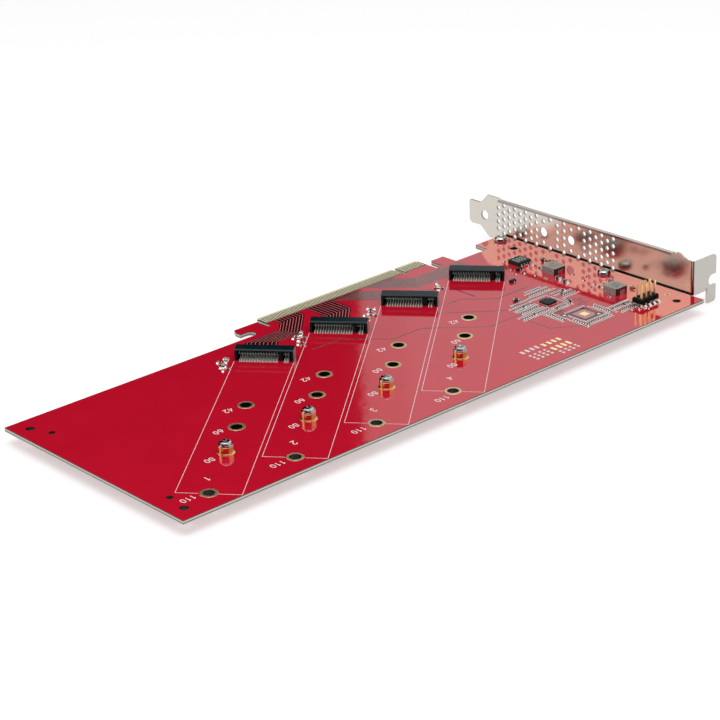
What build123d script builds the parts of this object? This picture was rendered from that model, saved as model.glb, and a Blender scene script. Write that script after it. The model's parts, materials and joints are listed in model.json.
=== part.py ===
from build123d import *
from math import cos, radians, sin, tan
import os

# Adapter card with four diagonal drive bays, a card-edge tongue and a full-height slot bracket.
# Lengths are in millimetres. The origin is the centre of the tongue's key notch at its outer edge, halfway
# through the board.
# +X runs from the bracket to the free end, +Y from the card edge to the top edge, +Z to the component side.

# Sides of the shanks, studs and bores inside other pieces, and how far a cut runs past the face it opens
inner_sides = 8
cut_spare = 1.0

# Board
board_thickness = 1.57
board_bracket_end = -57.8
board_length = 253.9
board_lower_edge = 12.15
board_width = 98.95
corner_hole_r = 1.6
corner_hole_inset = 5.7
corner_hole_bracket_x = -49.7
corner_hole_low_y = 19.4
corner_hole_high_y = 104.5
board_free_end = board_bracket_end + board_length
board_top_edge = board_lower_edge + board_width
corner_hole_free_x = board_free_end - corner_hole_inset
face_z = board_thickness / 2
back_z = -board_thickness / 2

# Card-edge tongue and its contacts
contact_pitch = 1.0
contact_width = 0.7
contact_length = 4.7
contact_plating = 0.05
contacts_near = 11
contacts_far = 71
notch_to_contact = 1.5
contact_to_edge = 1.1
key_notch_width = 1.9
key_notch_depth = 7.5
bevel_depth = 1.3
bevel_angle = 20
tongue_chamfer = 1.0
tongue_near_end = -(notch_to_contact + (contacts_near - 1) * contact_pitch + contact_to_edge)
tongue_far_end = notch_to_contact + (contacts_far - 1) * contact_pitch + contact_to_edge

# Short tab, bracket tab and hold-down hook on the card edge
short_tab_gap = 3.4
short_tab_width = 7.6
short_tab_edge = 4.6
bracket_tab_width = 15.9
bracket_tab_edge = 4.9
bracket_tab_corner = 0.6
hook_gap = 1.8
hook_gap_root = 8.5
hook_width = 12.2
hook_edge = 2.8
hook_nose = 1.2
hook_nose_rise = 2.5
hook_slot_edge = 7.8
hook_slot_reach = 5.3

# Drive bays: the outermost hole of the first bay, and where the drives end
bay_count = 4
bay_pitch = 36.75
bay_angle = 40
bay_hole_x = 178.3
bay_hole_y = 102.0
free_drive_lengths = (42, 60, 110)
fitted_length = 80
drive_lengths = (*free_drive_lengths, fitted_length)
drive_hole_r = 2.15
drive_hole_sides = 12
drive_seat_depth = 3.5

# Drive sockets, in their bay's axes: u along the drive, v across it, z up from the board
socket_height = 4.5
socket_depth = 5.6
socket_roof_depth = 4.8
socket_roof_chamfer = 0.4
socket_end_wall = 0.9
socket_back_wall = 1.2
socket_roof = 0.8
socket_base = 0.35
pin_count = 75
pin_step = 0.25
pin_width = 0.22
mouth_margin = 0.64
mouth_height = socket_height - socket_roof - socket_base
mouth_width = (pin_count - 1) * pin_step + pin_width + 2 * mouth_margin
socket_width = mouth_width + 2 * socket_end_wall
key_first_pin = 59
key_last_pin = 66
key_rib_width = 1.2
tail_length = 1.1
tail_thickness = 0.2
beam_rise = 1.0
beam_reach = 2.9

# Standoffs, their nuts and the drive screws
standoff_r = 2.65
standoff_height = 2.6
stud_clearance = 0.15
stud_length = 2.5
nut_across_flats = 7.0
nut_height = 2.2
nut_clearance = 0.05
bore_spare_depth = 0.5
stud_r = drive_hole_r - stud_clearance
drive_screw_r = 1.0
drive_screw_length = 2.0
drive_screw_flange_r = 2.55
drive_screw_flange = 0.6
drive_screw_head_r = 2.0
drive_screw_head = 1.0
screw_clearance = 0.05
head_rim_share = 0.35
head_top_share = 0.6

# Slot bracket, folded from one sheet
sheet = 0.86
bracket_gap = 1.12
bracket_inner_x = board_bracket_end - bracket_gap
bracket_outer_x = bracket_inner_x - sheet
bracket_high_z = 16.03
bracket_width = 18.4
bracket_foot_y = -14.95
bracket_flange_y = 105.09
foot_high_z = 11.85
foot_low_z = 1.8
shoulder_y = -8.5
high_shoulder_y = -4.5
low_shoulder_y = -3.4
foot_corner_low_r = 2.0
foot_corner_high_r = 0.7
head_slant_y = 98.2
head_y = 101.5
head_high_z = 14.0
bracket_low_z = bracket_high_z - bracket_width

# Turned lip along the bracket's upper edge
lip_start_y = 3.3
lip_end_y = 95.5
lip_reach = 1.9
fold_inner_r = 0.3
relief_width = 0.8

# Screw flange at the bracket's top end
flange_reach = 13.5
flange_bend_r = 0.65
flange_low_z = 0.2
leg_low_z = -5.27
leg_width = 5.1
leg_slot_width = 1.0
leg_slot_top_z = 1.6
screw_notch_width = 4.4
screw_notch_depth = 4.4
screw_notch_z = 3.85
flange_corner = 1.4
plate_end_y = bracket_flange_y - flange_bend_r - sheet

# Tabs under the board and the screws that hold it
tab_screw_x = -52.7
tab_screw_ys = (9.1, 65.4)
tab_width = 9.0
tab_beyond_screw = 4.2
bracket_screw_r = 1.5
bracket_screw_length = 2.9
bracket_screw_head_r = 2.8
bracket_screw_head = 1.9
bracket_screw_hole_r = 1.6

# Vent holes through the bracket
vent_r = 1.2
vent_sides = 8
vent_step = 3.05
vent_low_z = 1.24
vent_first_y = 1.9
vent_first_columns = 8
vent_last_y = 49.1
vent_last_columns = 6
light_hole_r = 2.0
light_hole_sides = 16
light_hole_ys = (27.1, 42.0)
light_hole_z = 7.24
light_hole_margin = 4.1
foot_hole_y = -6.1
foot_hole_r = 2.0
foot_hole_z = 6.8

# Power inductors
inductor_length = 6.5
inductor_width = 7.2
inductor_height = 2.8
inductor_chamfer = 0.5
inductor_places = ((-41.0, 49.3), (-41.2, 81.1))
terminal_width = 3.0
terminal_thickness = 0.25
terminal_height = 1.9

# Chips
clock_chip_place = (-15.4, 69.9)
clock_chip_size = 5.0
clock_chip_height = 0.85
power_chip_place = (-39.2, 32.4)
power_chip_length = 7.0
power_chip_width = 6.2
power_chip_height = 1.5
chip_corner = 0.2

# Pin header
header_x = -40.4
header_y = 97.0
header_pitch = 2.54
header_columns = 4
header_rows = 2
header_block_z = 0.5
header_block_height = 2.5
header_block_chamfer = 0.5
pin_side = 0.64
header_pin_top = 8.5
header_foot_reach = 3.7
header_foot = 0.35

# Small chips soldered to the board
capacitor_size = (2.0, 1.25, 1.1)
resistor_size = (1.6, 0.8, 0.5)
transistor_size = (2.9, 1.4, 1.0)
bay_capacitor_v = -14.0
bay_capacitor_us = ((-105.6, -100.6), (-104.4, -98.6), (-92.4, -87.0), (-96.6, -91.2))
capacitor_places = ((-48.3, 72.6), (-48.6, 41.0), (-48.2, 84.1))
resistor_places = (
    (-40.3, 42.6),
    (-40.8, 73.7),
    (-36.7, 58.2),
    (-31.6, 41.6),
    (-33.7, 92.2),
    (-29.0, 65.5),
    (-26.0, 67.5),
    (-5.5, 66.5),
    (-3.0, 74.5),
)
transistor_places = ((-33.0, 38.0), (-22.0, 45.0))

# Solids that stand on their own origin
STANDING = (Align.CENTER, Align.CENTER, Align.MIN)


def block(x0, y0, x1, y1):
    """The rectangle between two corners."""
    return Pos((x0 + x1) / 2, (y0 + y1) / 2) * Rectangle(abs(x1 - x0), abs(y1 - y0))


def box(x0, y0, z0, x1, y1, z1):
    """The box between two corners."""
    return Pos((x0 + x1) / 2, (y0 + y1) / 2, (z0 + z1) / 2) * Box(abs(x1 - x0), abs(y1 - y0), abs(z1 - z0))


def bore(r, sides):
    """The outline of a many-sided bore that clears a round of radius r."""
    return RegularPolygon(r, sides, major_radius=False)


def shank(r, length):
    """A many-sided shank within radius r, hanging from its own origin."""
    return extrude(RegularPolygon(r, inner_sides), -length)


def write(shape, node):
    """Writes one node."""
    export_step(shape, f"parts/{node}.step")


def bay(k):
    """The axes of bay k on the board's face, at its outermost hole."""
    return Pos(bay_hole_x - k * bay_pitch, bay_hole_y, face_z) * Rot(0, 0, bay_angle)


def drive_hole(k, length):
    """Where the screw of a drive of this length goes in bay k."""
    return bay(k) * Pos(length - max(drive_lengths), 0, 0)


def board_outline():
    """The board's face with its tongue, tabs and hook, before any hole."""
    short_tab_end = tongue_near_end - short_tab_gap
    short_tab = block(short_tab_end - short_tab_width, short_tab_edge, short_tab_end, board_lower_edge)
    short_tab = chamfer(short_tab.vertices().sort_by(Axis.Y)[:2].sort_by(Axis.X)[-1], tongue_chamfer)
    tab = block(board_bracket_end, bracket_tab_edge, board_bracket_end + bracket_tab_width, board_lower_edge)
    tab = fillet(tab.vertices().sort_by(Axis.Y)[:2].sort_by(Axis.X)[-1], bracket_tab_corner)
    tongue = block(tongue_near_end, 0, tongue_far_end, board_lower_edge)
    tongue = chamfer(tongue.vertices().sort_by(Axis.Y)[:2], tongue_chamfer)
    key_r = key_notch_width / 2
    key_top = key_notch_depth - key_r
    key = block(-key_r, -cut_spare, key_r, key_top) + Pos(0, key_top) * Circle(key_r)
    main = block(board_bracket_end, board_lower_edge, board_free_end, board_top_edge)
    return main + short_tab + tab + (tongue - key) + hook_outline()


def hook_outline():
    """The hold-down hook: a tongue turned away from the bracket over a round-ended slot."""
    start = tongue_far_end + hook_gap
    end = start + hook_width
    body = Polygon(
        (start, board_lower_edge),
        (start, hook_edge),
        (end - hook_nose, hook_edge),
        (end, hook_edge + hook_nose_rise),
        (end, board_lower_edge),
        align=None,
    )
    slot_r = (board_lower_edge - hook_slot_edge) / 2
    slot_x = end - hook_slot_reach + slot_r
    slot = Pos(slot_x, hook_slot_edge + slot_r) * Circle(slot_r)
    slot += block(slot_x, hook_slot_edge, end + cut_spare, board_lower_edge)
    bridge = block(tongue_far_end, hook_gap_root, start, board_lower_edge)
    gap_r = hook_gap / 2
    round_root = Pos(tongue_far_end + gap_r, hook_gap_root) * Circle(gap_r)
    return body - slot + (bridge - round_root)


def tongue_bevels():
    """The two wedges that thin the tongue's outer edge."""
    drop = bevel_depth * tan(radians(bevel_angle))
    wedge = Polygon(
        (bevel_depth, 0), (-bevel_depth, -2 * drop), (-bevel_depth, drop), (bevel_depth, drop), align=None
    )
    length = tongue_far_end - tongue_near_end
    upper = extrude(Plane.YZ * wedge, length)
    upper = Pos(tongue_near_end, 0, face_z) * upper
    return upper + mirror(upper, Plane.XY)


def circuit_board():
    """The laminate with every hole through it."""
    board = extrude(board_outline(), face_z, both=True) - tongue_bevels()
    corners = [
        Pos(x, y) * Circle(corner_hole_r)
        for x in (corner_hole_bracket_x, corner_hole_free_x)
        for y in (corner_hole_low_y, corner_hole_high_y)
    ]
    screws = [Pos(tab_screw_x, y) * bore(bracket_screw_hole_r, drive_hole_sides) for y in tab_screw_ys]
    places = [drive_hole(k, length).position for k in range(bay_count) for length in drive_lengths]
    drives = [Pos(place.X, place.Y) * bore(drive_hole_r, drive_hole_sides) for place in places]
    return board - extrude(Sketch() + corners + screws + drives, board_thickness, both=True)


def contact_places():
    """The middle of each card-edge contact along X."""
    near = [-notch_to_contact - i * contact_pitch for i in range(contacts_near)]
    far = [notch_to_contact + i * contact_pitch for i in range(contacts_far)]
    return near + far


def edge_contacts(side):
    """One row of card-edge contacts, on the component side (1) or the solder side (-1)."""
    z = side * (face_z + contact_plating / 2)
    y = bevel_depth + contact_length / 2
    pad = Box(contact_width, contact_length, contact_plating)
    return Compound([Pos(x, y, z) * pad for x in contact_places()])


def pin_v(pin):
    """Where socket pin number pin lies across the drive."""
    return (pin - (pin_count + 1) / 2) * pin_step


def socket_front():
    """The u of the socket's open front."""
    return drive_seat_depth - max(drive_lengths)


def drive_socket():
    """The moulded housing: base, end walls, back wall, roof and the key rib in its mouth."""
    front = socket_front()
    side = Polygon(
        (front, 0),
        (front, socket_height - socket_roof_chamfer),
        (front - socket_roof_chamfer, socket_height),
        (front - socket_roof_depth, socket_height),
        (front - socket_depth, socket_height - socket_roof),
        (front - socket_depth, 0),
        align=None,
    )
    housing = Pos(0, -socket_width / 2, 0) * extrude(Plane.XZ * side, -socket_width)
    mouth = box(
        front - socket_depth + socket_back_wall,
        -mouth_width / 2,
        socket_base,
        front + cut_spare,
        mouth_width / 2,
        socket_base + mouth_height,
    )
    key_v = (pin_v(key_first_pin) + pin_v(key_last_pin)) / 2
    rib = box(
        front - socket_depth + socket_back_wall,
        key_v - key_rib_width / 2,
        socket_base,
        front - socket_roof_chamfer,
        key_v + key_rib_width / 2,
        socket_base + mouth_height,
    )
    sill = box(
        front - tail_length, pin_v(0), -cut_spare, front + cut_spare, pin_v(pin_count + 1), socket_base
    )
    return housing - mouth + rib - sill


def socket_contacts():
    """The lower row of contacts: each a solder tail that runs in over the base and rises as a beam."""
    front = socket_front()
    beam = Polygon(
        (front + tail_length, 0),
        (front + tail_length, tail_thickness),
        (front - beam_reach, socket_base + tail_thickness + beam_rise),
        (front - beam_reach, socket_base + beam_rise),
        align=None,
    )
    pin = Pos(0, pin_width / 2, 0) * extrude(Plane.XZ * beam, pin_width)
    row = [n for n in range(2, pin_count, 2) if not key_first_pin <= n <= key_last_pin]
    return Compound([Pos(0, pin_v(n), 0) * pin for n in row])


def standoff():
    """A turned brass post with a stud through the board for its nut and a bore for the drive screw."""
    post = Cylinder(standoff_r, standoff_height, align=STANDING)
    post += shank(stud_r, board_thickness + stud_length)
    bore_depth = drive_screw_length + bore_spare_depth
    tapped = extrude(bore(drive_screw_r + screw_clearance, inner_sides), -bore_depth)
    return post - Pos(0, 0, standoff_height) * tapped


def standoff_nut():
    """The hexagon nut that draws the standoff down from under the board."""
    outline = bore(nut_across_flats / 2, 6) - bore(stud_r + nut_clearance, inner_sides)
    return Pos(0, 0, -board_thickness - nut_height) * extrude(outline, nut_height)


def screw_head(r, height):
    """A turned head about Z, from its seat up: a short rim and a sloped crown."""
    outline = Polyline(
        (0, 0), (r, 0), (r, height * head_rim_share), (r * head_top_share, height), (0, height), close=True
    )
    return revolve(Plane.XZ * make_face(outline), Axis.Z)


def drive_screw():
    """The screw that holds a drive on its standoff: a flat flange with the head on it."""
    head = Pos(0, 0, drive_screw_flange) * screw_head(drive_screw_head_r, drive_screw_head)
    flange_disc = Cylinder(drive_screw_flange_r, drive_screw_flange, align=STANDING)
    return Pos(0, 0, standoff_height) * (flange_disc + head + shank(drive_screw_r, drive_screw_length))


def bracket_screw():
    """A pan-head screw that goes down through the board into a bracket tab."""
    head = screw_head(bracket_screw_head_r, bracket_screw_head)
    return Pos(0, 0, face_z) * (head + shank(bracket_screw_r, bracket_screw_length))


def vent_places():
    """The vent holes as (y, z): columns of four and five rows in turn, opened up round the light holes."""
    four = [row + 0.5 for row in range(4)]
    five = list(range(5))
    columns = [(vent_first_y + i * vent_step, five if i % 2 else four) for i in range(vent_first_columns)]
    columns += [(vent_last_y + i * vent_step, five if i % 2 else four) for i in range(vent_last_columns)]
    low_y, high_y = light_hole_ys
    quarter = (high_y - low_y) / 4
    columns += [(low_y + 2 * quarter, four), (low_y + 3 * quarter, five)]
    outer_four = [four[0], four[-1]]
    outer_five = [five[0], five[-1]]
    columns += [(low_y, outer_four), (high_y, outer_four)]
    columns += [(low_y + quarter, outer_five), (high_y + light_hole_margin, outer_five)]
    return [(y, vent_low_z + row * vent_step) for y, rows in columns for row in rows]


def bracket_plate():
    """The flat of the bracket as (y, z): narrow foot, shoulders, slanted head and the room for its folds."""
    plate = make_face(
        Polyline(
            (bracket_foot_y, foot_low_z),
            (shoulder_y, foot_low_z),
            (low_shoulder_y, bracket_low_z),
            (plate_end_y, bracket_low_z),
            (plate_end_y, head_high_z),
            (head_y, head_high_z),
            (head_slant_y, bracket_high_z),
            (high_shoulder_y, bracket_high_z),
            (shoulder_y, foot_high_z),
            (bracket_foot_y, foot_high_z),
            close=True,
        )
    )
    foot = plate.vertices().sort_by(Axis.X)[:2].sort_by(Axis.Y)
    plate = fillet(foot[0], foot_corner_low_r)
    plate = fillet(plate.vertices().sort_by(Axis.X)[:2].sort_by(Axis.Y)[-1], foot_corner_high_r)
    fold_r = sheet + fold_inner_r
    above = bracket_high_z + cut_spare
    plate -= block(lip_start_y - relief_width, bracket_high_z - fold_r, lip_end_y + relief_width, above)
    for y in tab_screw_ys:
        half = tab_width / 2 + relief_width
        plate -= block(y - half, bracket_low_z - cut_spare, y + half, back_z + fold_inner_r)
    return plate


def bracket():
    """One folded sheet: perforated plate, turned lip, two ears under the board and the screw flange."""
    turn = Rot(0, 0, 180 / vent_sides)
    vents = [Pos(y, z) * turn * bore(vent_r, vent_sides) for y, z in vent_places()]
    lights = [Pos(y, light_hole_z) * bore(light_hole_r, light_hole_sides) for y in light_hole_ys]
    foot_hole = Pos(foot_hole_y, foot_hole_z) * bore(foot_hole_r, light_hole_sides)
    flat = bracket_plate() - (Sketch() + vents + lights + [foot_hole])
    plate = Pos(bracket_outer_x, 0, 0) * extrude(Plane.YZ * flat, sheet)
    return plate + lip() + [ear(y) for y in tab_screw_ys] + flange()


def fold(reach, inner_r):
    """A sheet that comes up left of the y axis, turns right and ends at x = reach, its top at y = 0."""
    outer_r = inner_r + sheet
    return make_face(
        [
            RadiusArc((-sheet, -outer_r), (inner_r, 0), outer_r),
            Line((inner_r, 0), (reach, 0)),
            Line((reach, 0), (reach, -sheet)),
            Line((reach, -sheet), (inner_r, -sheet)),
            RadiusArc((inner_r, -sheet), (0, -outer_r), -inner_r),
            Line((0, -outer_r), (-sheet, -outer_r)),
        ]
    )


def lip():
    """The edge folded in over the board."""
    plane = Plane(origin=(bracket_inner_x, lip_start_y, bracket_high_z), x_dir=(1, 0, 0), z_dir=(0, -1, 0))
    return extrude(plane * fold(lip_reach, fold_inner_r), lip_start_y - lip_end_y)


def ear(y):
    """A tab folded in under the board from the plate's lower edge, with the hole for its screw."""
    origin = (bracket_inner_x, y - tab_width / 2, back_z - sheet)
    plane = Plane(origin=origin, x_dir=(1, 0, 0), z_dir=(0, 1, 0))
    reach = tab_screw_x + tab_beyond_screw - bracket_inner_x
    tab = extrude(plane * fold(reach, fold_inner_r), tab_width)
    hole = extrude(bore(bracket_screw_r + screw_clearance, inner_sides), 2 * sheet, both=True)
    return tab - Pos(tab_screw_x, y, back_z) * hole


def flange():
    """The flange that the chassis screw holds, with its open notch, its leg and the slot beside the leg."""
    tip_x = bracket_inner_x - flange_reach
    plane = Plane(origin=(bracket_outer_x, bracket_flange_y, leg_low_z), x_dir=(-1, 0, 0), z_dir=(0, 0, -1))
    folded = extrude(plane * fold(bracket_outer_x - tip_x, flange_bend_r), leg_low_z - head_high_z)
    outline = block(tip_x, leg_low_z, bracket_inner_x, head_high_z)
    outline = fillet(outline.vertices().sort_by(Axis.X)[:2], flange_corner)
    outline -= block(tip_x + leg_width, leg_low_z - cut_spare, bracket_inner_x + cut_spare, flange_low_z)
    slot_r = leg_slot_width / 2
    slot_x = tip_x + leg_width + slot_r
    outline -= block(slot_x - slot_r, leg_low_z - cut_spare, slot_x + slot_r, leg_slot_top_z - slot_r)
    outline -= Pos(slot_x, leg_slot_top_z - slot_r) * Circle(slot_r)
    notch_r = screw_notch_width / 2
    notch_x = tip_x + screw_notch_depth - notch_r
    outline -= block(tip_x - cut_spare, screw_notch_z - notch_r, notch_x, screw_notch_z + notch_r)
    outline -= Pos(notch_x, screw_notch_z) * Circle(notch_r)
    return folded & extrude(Plane.XZ.offset(-bracket_flange_y) * outline, 2 * (sheet + flange_bend_r))


def inductor():
    """A pressed block with chamfered upright corners."""
    core = Box(inductor_length, inductor_width, inductor_height, align=STANDING)
    return chamfer(core.edges().filter_by(Axis.Z), inductor_chamfer)


def terminals():
    """The two folded terminals, one on each end of an inductor."""
    y = inductor_width / 2 + terminal_thickness / 2
    strip = Box(terminal_width, terminal_thickness, terminal_height, align=STANDING)
    return [Pos(0, side * y, 0) * strip for side in (-1, 1)]


def soldered(size, places, turn=0):
    """Small parts of one size standing on the board's face."""
    shape = Box(*size, align=STANDING)
    return [Pos(x, y, face_z) * Rot(0, 0, turn) * shape for x, y in places]


def bay_capacitors():
    """The capacitors beside the sockets, square to their bays."""
    shape = Box(*capacitor_size, align=STANDING)
    places = [(k, u) for k in range(bay_count) for u in bay_capacitor_us[k]]
    return [bay(k) * Pos(u, bay_capacitor_v, 0) * shape for k, u in places]


def moulded_chip(length, width, height, place):
    """A flat moulded package with softened upright corners."""
    body = Box(length, width, height, align=STANDING)
    body = chamfer(body.edges().filter_by(Axis.Z), chip_corner)
    return Pos(place[0], place[1], face_z) * body


def header_places():
    """The header's pins as (x, y) from its middle, with the side that each foot turns to."""
    xs = [(i - (header_columns - 1) / 2) * header_pitch for i in range(header_columns)]
    return [(x, side * header_pitch / 2, side) for x in xs for side in (-1, 1)]


def header_base():
    """The block that carries the pins, with a square hole for each."""
    length = header_columns * header_pitch
    width = header_rows * header_pitch
    body = Pos(0, 0, header_block_z) * extrude(Rectangle(length, width), header_block_height)
    body = chamfer(body.edges().filter_by(Axis.Z), header_block_chamfer)
    for x, y, _ in header_places():
        hole = Box(pin_side, pin_side, 2 * header_block_height)
        body -= Pos(x, y, header_block_z + header_block_height / 2) * hole
    return Pos(header_x, header_y, face_z) * body


def header_pin(x, y, side):
    """A square pin that turns outwards into a foot on the board."""
    inner = -pin_side / 2
    reach = header_foot_reach - header_pitch / 2
    profile = Polygon(
        (inner, 0),
        (reach, 0),
        (reach, header_foot),
        (-inner, header_foot),
        (-inner, header_pin_top),
        (inner, header_pin_top),
        align=None,
    )
    pin = extrude(Plane.YZ * profile, pin_side / 2, both=True)
    return Pos(header_x + x, header_y + y, face_z) * Rot(0, 0, 0 if side > 0 else 180) * pin


os.makedirs("parts", exist_ok=True)
write(circuit_board(), "circuit_board")
write(edge_contacts(1), "edge_contacts_front")
write(edge_contacts(-1), "edge_contacts_back")
for k in range(bay_count):
    write(bay(k) * drive_socket(), f"drive_socket_{k + 1}")
    write(bay(k) * socket_contacts(), f"socket_contacts_{k + 1}")
    write(drive_hole(k, fitted_length) * standoff(), f"standoff_{k + 1}")
    write(drive_hole(k, fitted_length) * standoff_nut(), f"standoff_nut_{k + 1}")
    write(drive_hole(k, fitted_length) * drive_screw(), f"drive_screw_{k + 1}")
write(bracket(), "slot_bracket")
for i, y in enumerate(tab_screw_ys):
    write(Pos(tab_screw_x, y) * bracket_screw(), f"bracket_screw_{i + 1}")
for i, (x, y) in enumerate(inductor_places):
    write(Pos(x, y, face_z) * inductor(), f"inductor_{i + 1}")
write(
    Compound([Pos(x, y, face_z) * t for x, y in inductor_places for t in terminals()]),
    "inductor_terminals",
)
write(moulded_chip(clock_chip_size, clock_chip_size, clock_chip_height, clock_chip_place), "clock_chip")
write(moulded_chip(power_chip_length, power_chip_width, power_chip_height, power_chip_place), "power_chip")
write(header_base(), "header_base")
write(Compound([header_pin(*place) for place in header_places()]), "header_pins")
write(Compound(bay_capacitors() + soldered(capacitor_size, capacitor_places, 90)), "chip_capacitors")
write(Compound(soldered(resistor_size, resistor_places, 90)), "chip_resistors")
write(Compound(soldered(transistor_size, transistor_places)), "small_transistors")
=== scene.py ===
"""Drive adapter card: the finishes, printing, copper and small parts of the card, built round its CAD frame.

Lengths inside the functions are in millimetres, in the card's own frame: X from the bracket to the free end,
Y from the card edge to the top edge, Z to the component side.
"""

import json
import math
from functools import partialmethod, reduce
from operator import or_

import bpy
import numpy as np
from bpy.props import FloatProperty, FloatVectorProperty, IntProperty, PointerProperty
from mathutils import Euler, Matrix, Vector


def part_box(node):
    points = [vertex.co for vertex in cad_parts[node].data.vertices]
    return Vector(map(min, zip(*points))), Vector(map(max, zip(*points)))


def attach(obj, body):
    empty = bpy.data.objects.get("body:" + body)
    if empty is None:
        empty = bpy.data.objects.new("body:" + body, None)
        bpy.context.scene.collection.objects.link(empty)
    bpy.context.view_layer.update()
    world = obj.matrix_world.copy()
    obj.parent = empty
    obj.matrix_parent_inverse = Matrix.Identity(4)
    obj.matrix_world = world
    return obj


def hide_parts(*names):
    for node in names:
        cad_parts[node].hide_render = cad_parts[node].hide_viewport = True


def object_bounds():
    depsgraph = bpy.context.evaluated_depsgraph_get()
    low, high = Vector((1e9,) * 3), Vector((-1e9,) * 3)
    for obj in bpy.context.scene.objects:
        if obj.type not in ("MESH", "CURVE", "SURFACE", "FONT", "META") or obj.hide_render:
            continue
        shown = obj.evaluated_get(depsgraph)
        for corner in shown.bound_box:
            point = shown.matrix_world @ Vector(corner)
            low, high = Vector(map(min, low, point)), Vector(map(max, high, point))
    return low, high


bl_info = {
    "name": "Drive Adapter Card",
    "version": (1, 0, 0),
    "blender": (4, 5, 0),
    "location": "View3D > Sidebar > Card",
    "description": "Dresses the drive adapter card: finishes, printing, copper, contacts, screws and small parts",
    "category": "Add Mesh",
}

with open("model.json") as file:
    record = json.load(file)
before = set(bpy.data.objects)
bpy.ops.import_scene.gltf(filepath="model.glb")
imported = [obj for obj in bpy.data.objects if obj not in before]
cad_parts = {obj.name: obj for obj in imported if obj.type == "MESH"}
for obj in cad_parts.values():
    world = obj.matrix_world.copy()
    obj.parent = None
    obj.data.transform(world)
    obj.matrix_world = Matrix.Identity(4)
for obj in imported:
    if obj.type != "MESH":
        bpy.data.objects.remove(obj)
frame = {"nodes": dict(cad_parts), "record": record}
CAD_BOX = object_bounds()

MM = 0.001
ROOT = "root"
CREASE = 32.0


def cad_box(node):
    """The lowest and the highest corner of a CAD node's box, and its middle in plan."""
    low, high = (np.array(corner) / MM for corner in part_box(node))
    return low, high, (low[:2] + high[:2]) / 2


FACE = cad_box("circuit_board")[1][2]
MOUTHS = [m for m in frame["record"]["mounts"] if m["name"].startswith("drive_socket")]
MOUTH_PLACES = np.array([m["pos_m"] for m in MOUTHS]) / MM
BAY_TURN = math.atan2(MOUTHS[0]["axis"][1], MOUTHS[0]["axis"][0])
BAY_ANGLE = math.degrees(BAY_TURN)
BAYS = len(MOUTHS)
# From a bay's outermost hole to its socket's mouth
HOLE_TO_MOUTH = 106.5
DRIVE_LENGTHS = (42, 60, 80, 110)
FITTED = 80
# The card edge: the notch between the contacts, the tongue's ends and the height at which the mask begins
KEY_NOTCH = (-1.3, 1.3)
TONGUE_ENDS = (-12.7, 72.7)
MASK_EDGE = 6.35
TONGUE_TOP = 6.7

# The board's edge: dark above this height, and dark in a core at this height and half thickness; past this X the
# end that faces the bracket gets painted shade
RIM_HEIGHT, CORE_HEIGHT, CORE_HALF = 0.5, -0.28, 0.14
BRACKET_SIDE = -50

# Printing: the outline's ends along a bay and its half width, the gap it leaves round the last hole's ring, and the
# middles of the printed drive lengths and bay numbers
OUTLINE_START, OUTLINE_END, OUTLINE_HALF, PAD_GAP = -105.6, 0.5, 11, 3.3
LENGTH_PLACES = (
    ((133.5, 57.5), (147, 68.5), (163, 83.5), (185.7, 100.5)),
    ((97, 57), (111, 69.5), (126, 83.5), (149.2, 102)),
    ((60, 57), (74.2, 70), (89.2, 83.5), (113, 102)),
    ((23, 57.5), (36, 71.5), (52.5, 86), (75.5, 104)),
)
BAY_NUMBER_PLACES = ((172.2, 93.5), (134.7, 93.5), (98.2, 93.5), (61.2, 93.5))

# Masked traces: each bay's bundle as its first line's place at the card edge, its spread along it and the height of
# its first turn, then its number of light gaps and their width
BUNDLES = ((56.3, 12.6, 23.5), (39.5, 13, 18), (25.5, 14, 8), (6.5, 15, 8))
BUNDLE_LINES = (8, 8, 12, 12)
BUNDLE_GAPS = (0.3, 0.34, 0.26, 0.26)
BUNDLE_HALF = 9.0
# The first bay's bundle: its half width and shift at the socket, its first turn, and how far its levels fall
FIRST_HALF, FIRST_SHIFT, FIRST_TURN, FIRST_FALL = 6.2, -2.75, 10, 8.4
# The last bay's bundle: its lowest level, and how far its levels rise
LAST_LEVEL, LAST_RISE = 13.5, 8.5
SOCKET_BACK = 5.4
EMPTY_CHIP_LOOP = (-20.2, 83.8, -12.4, 91.8)
# Runs of short traces round the chips: place, direction, number of lines, length
SHORT_TRACES = (
    (-27.5, 62.5, 40, 6, 5), (-14, 75.5, 30, 6, 6), (-11.5, 64.5, 0, 5, 9), (-20.5, 62, 230, 6, 5),
    (-21.5, 75, 150, 5, 5), (-12, 70.5, 0, 4, 9.5), (-23.5, 70.5, 180, 6, 6), (-10.5, 92.5, 30, 6, 4),
    (-22, 82, 200, 6, 4), (-22, 91, 150, 5, 4), (-14, 82.5, 280, 6, 4), (-33, 86, 100, 5, 5),
)
LONG_TRACES = (
    ((-22, 53), (-5, 53), (5, 43), (12, 43)),
    ((0, 70.5), (17, 70.5), (36, 53), (50, 53), (64, 38.5), (77, 38)),
    ((-10, 97), (3, 88), (3, 75)),
    ((-1, 66), (22, 46)),
    ((-1, 45), (-1, 33)),
)

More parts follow.
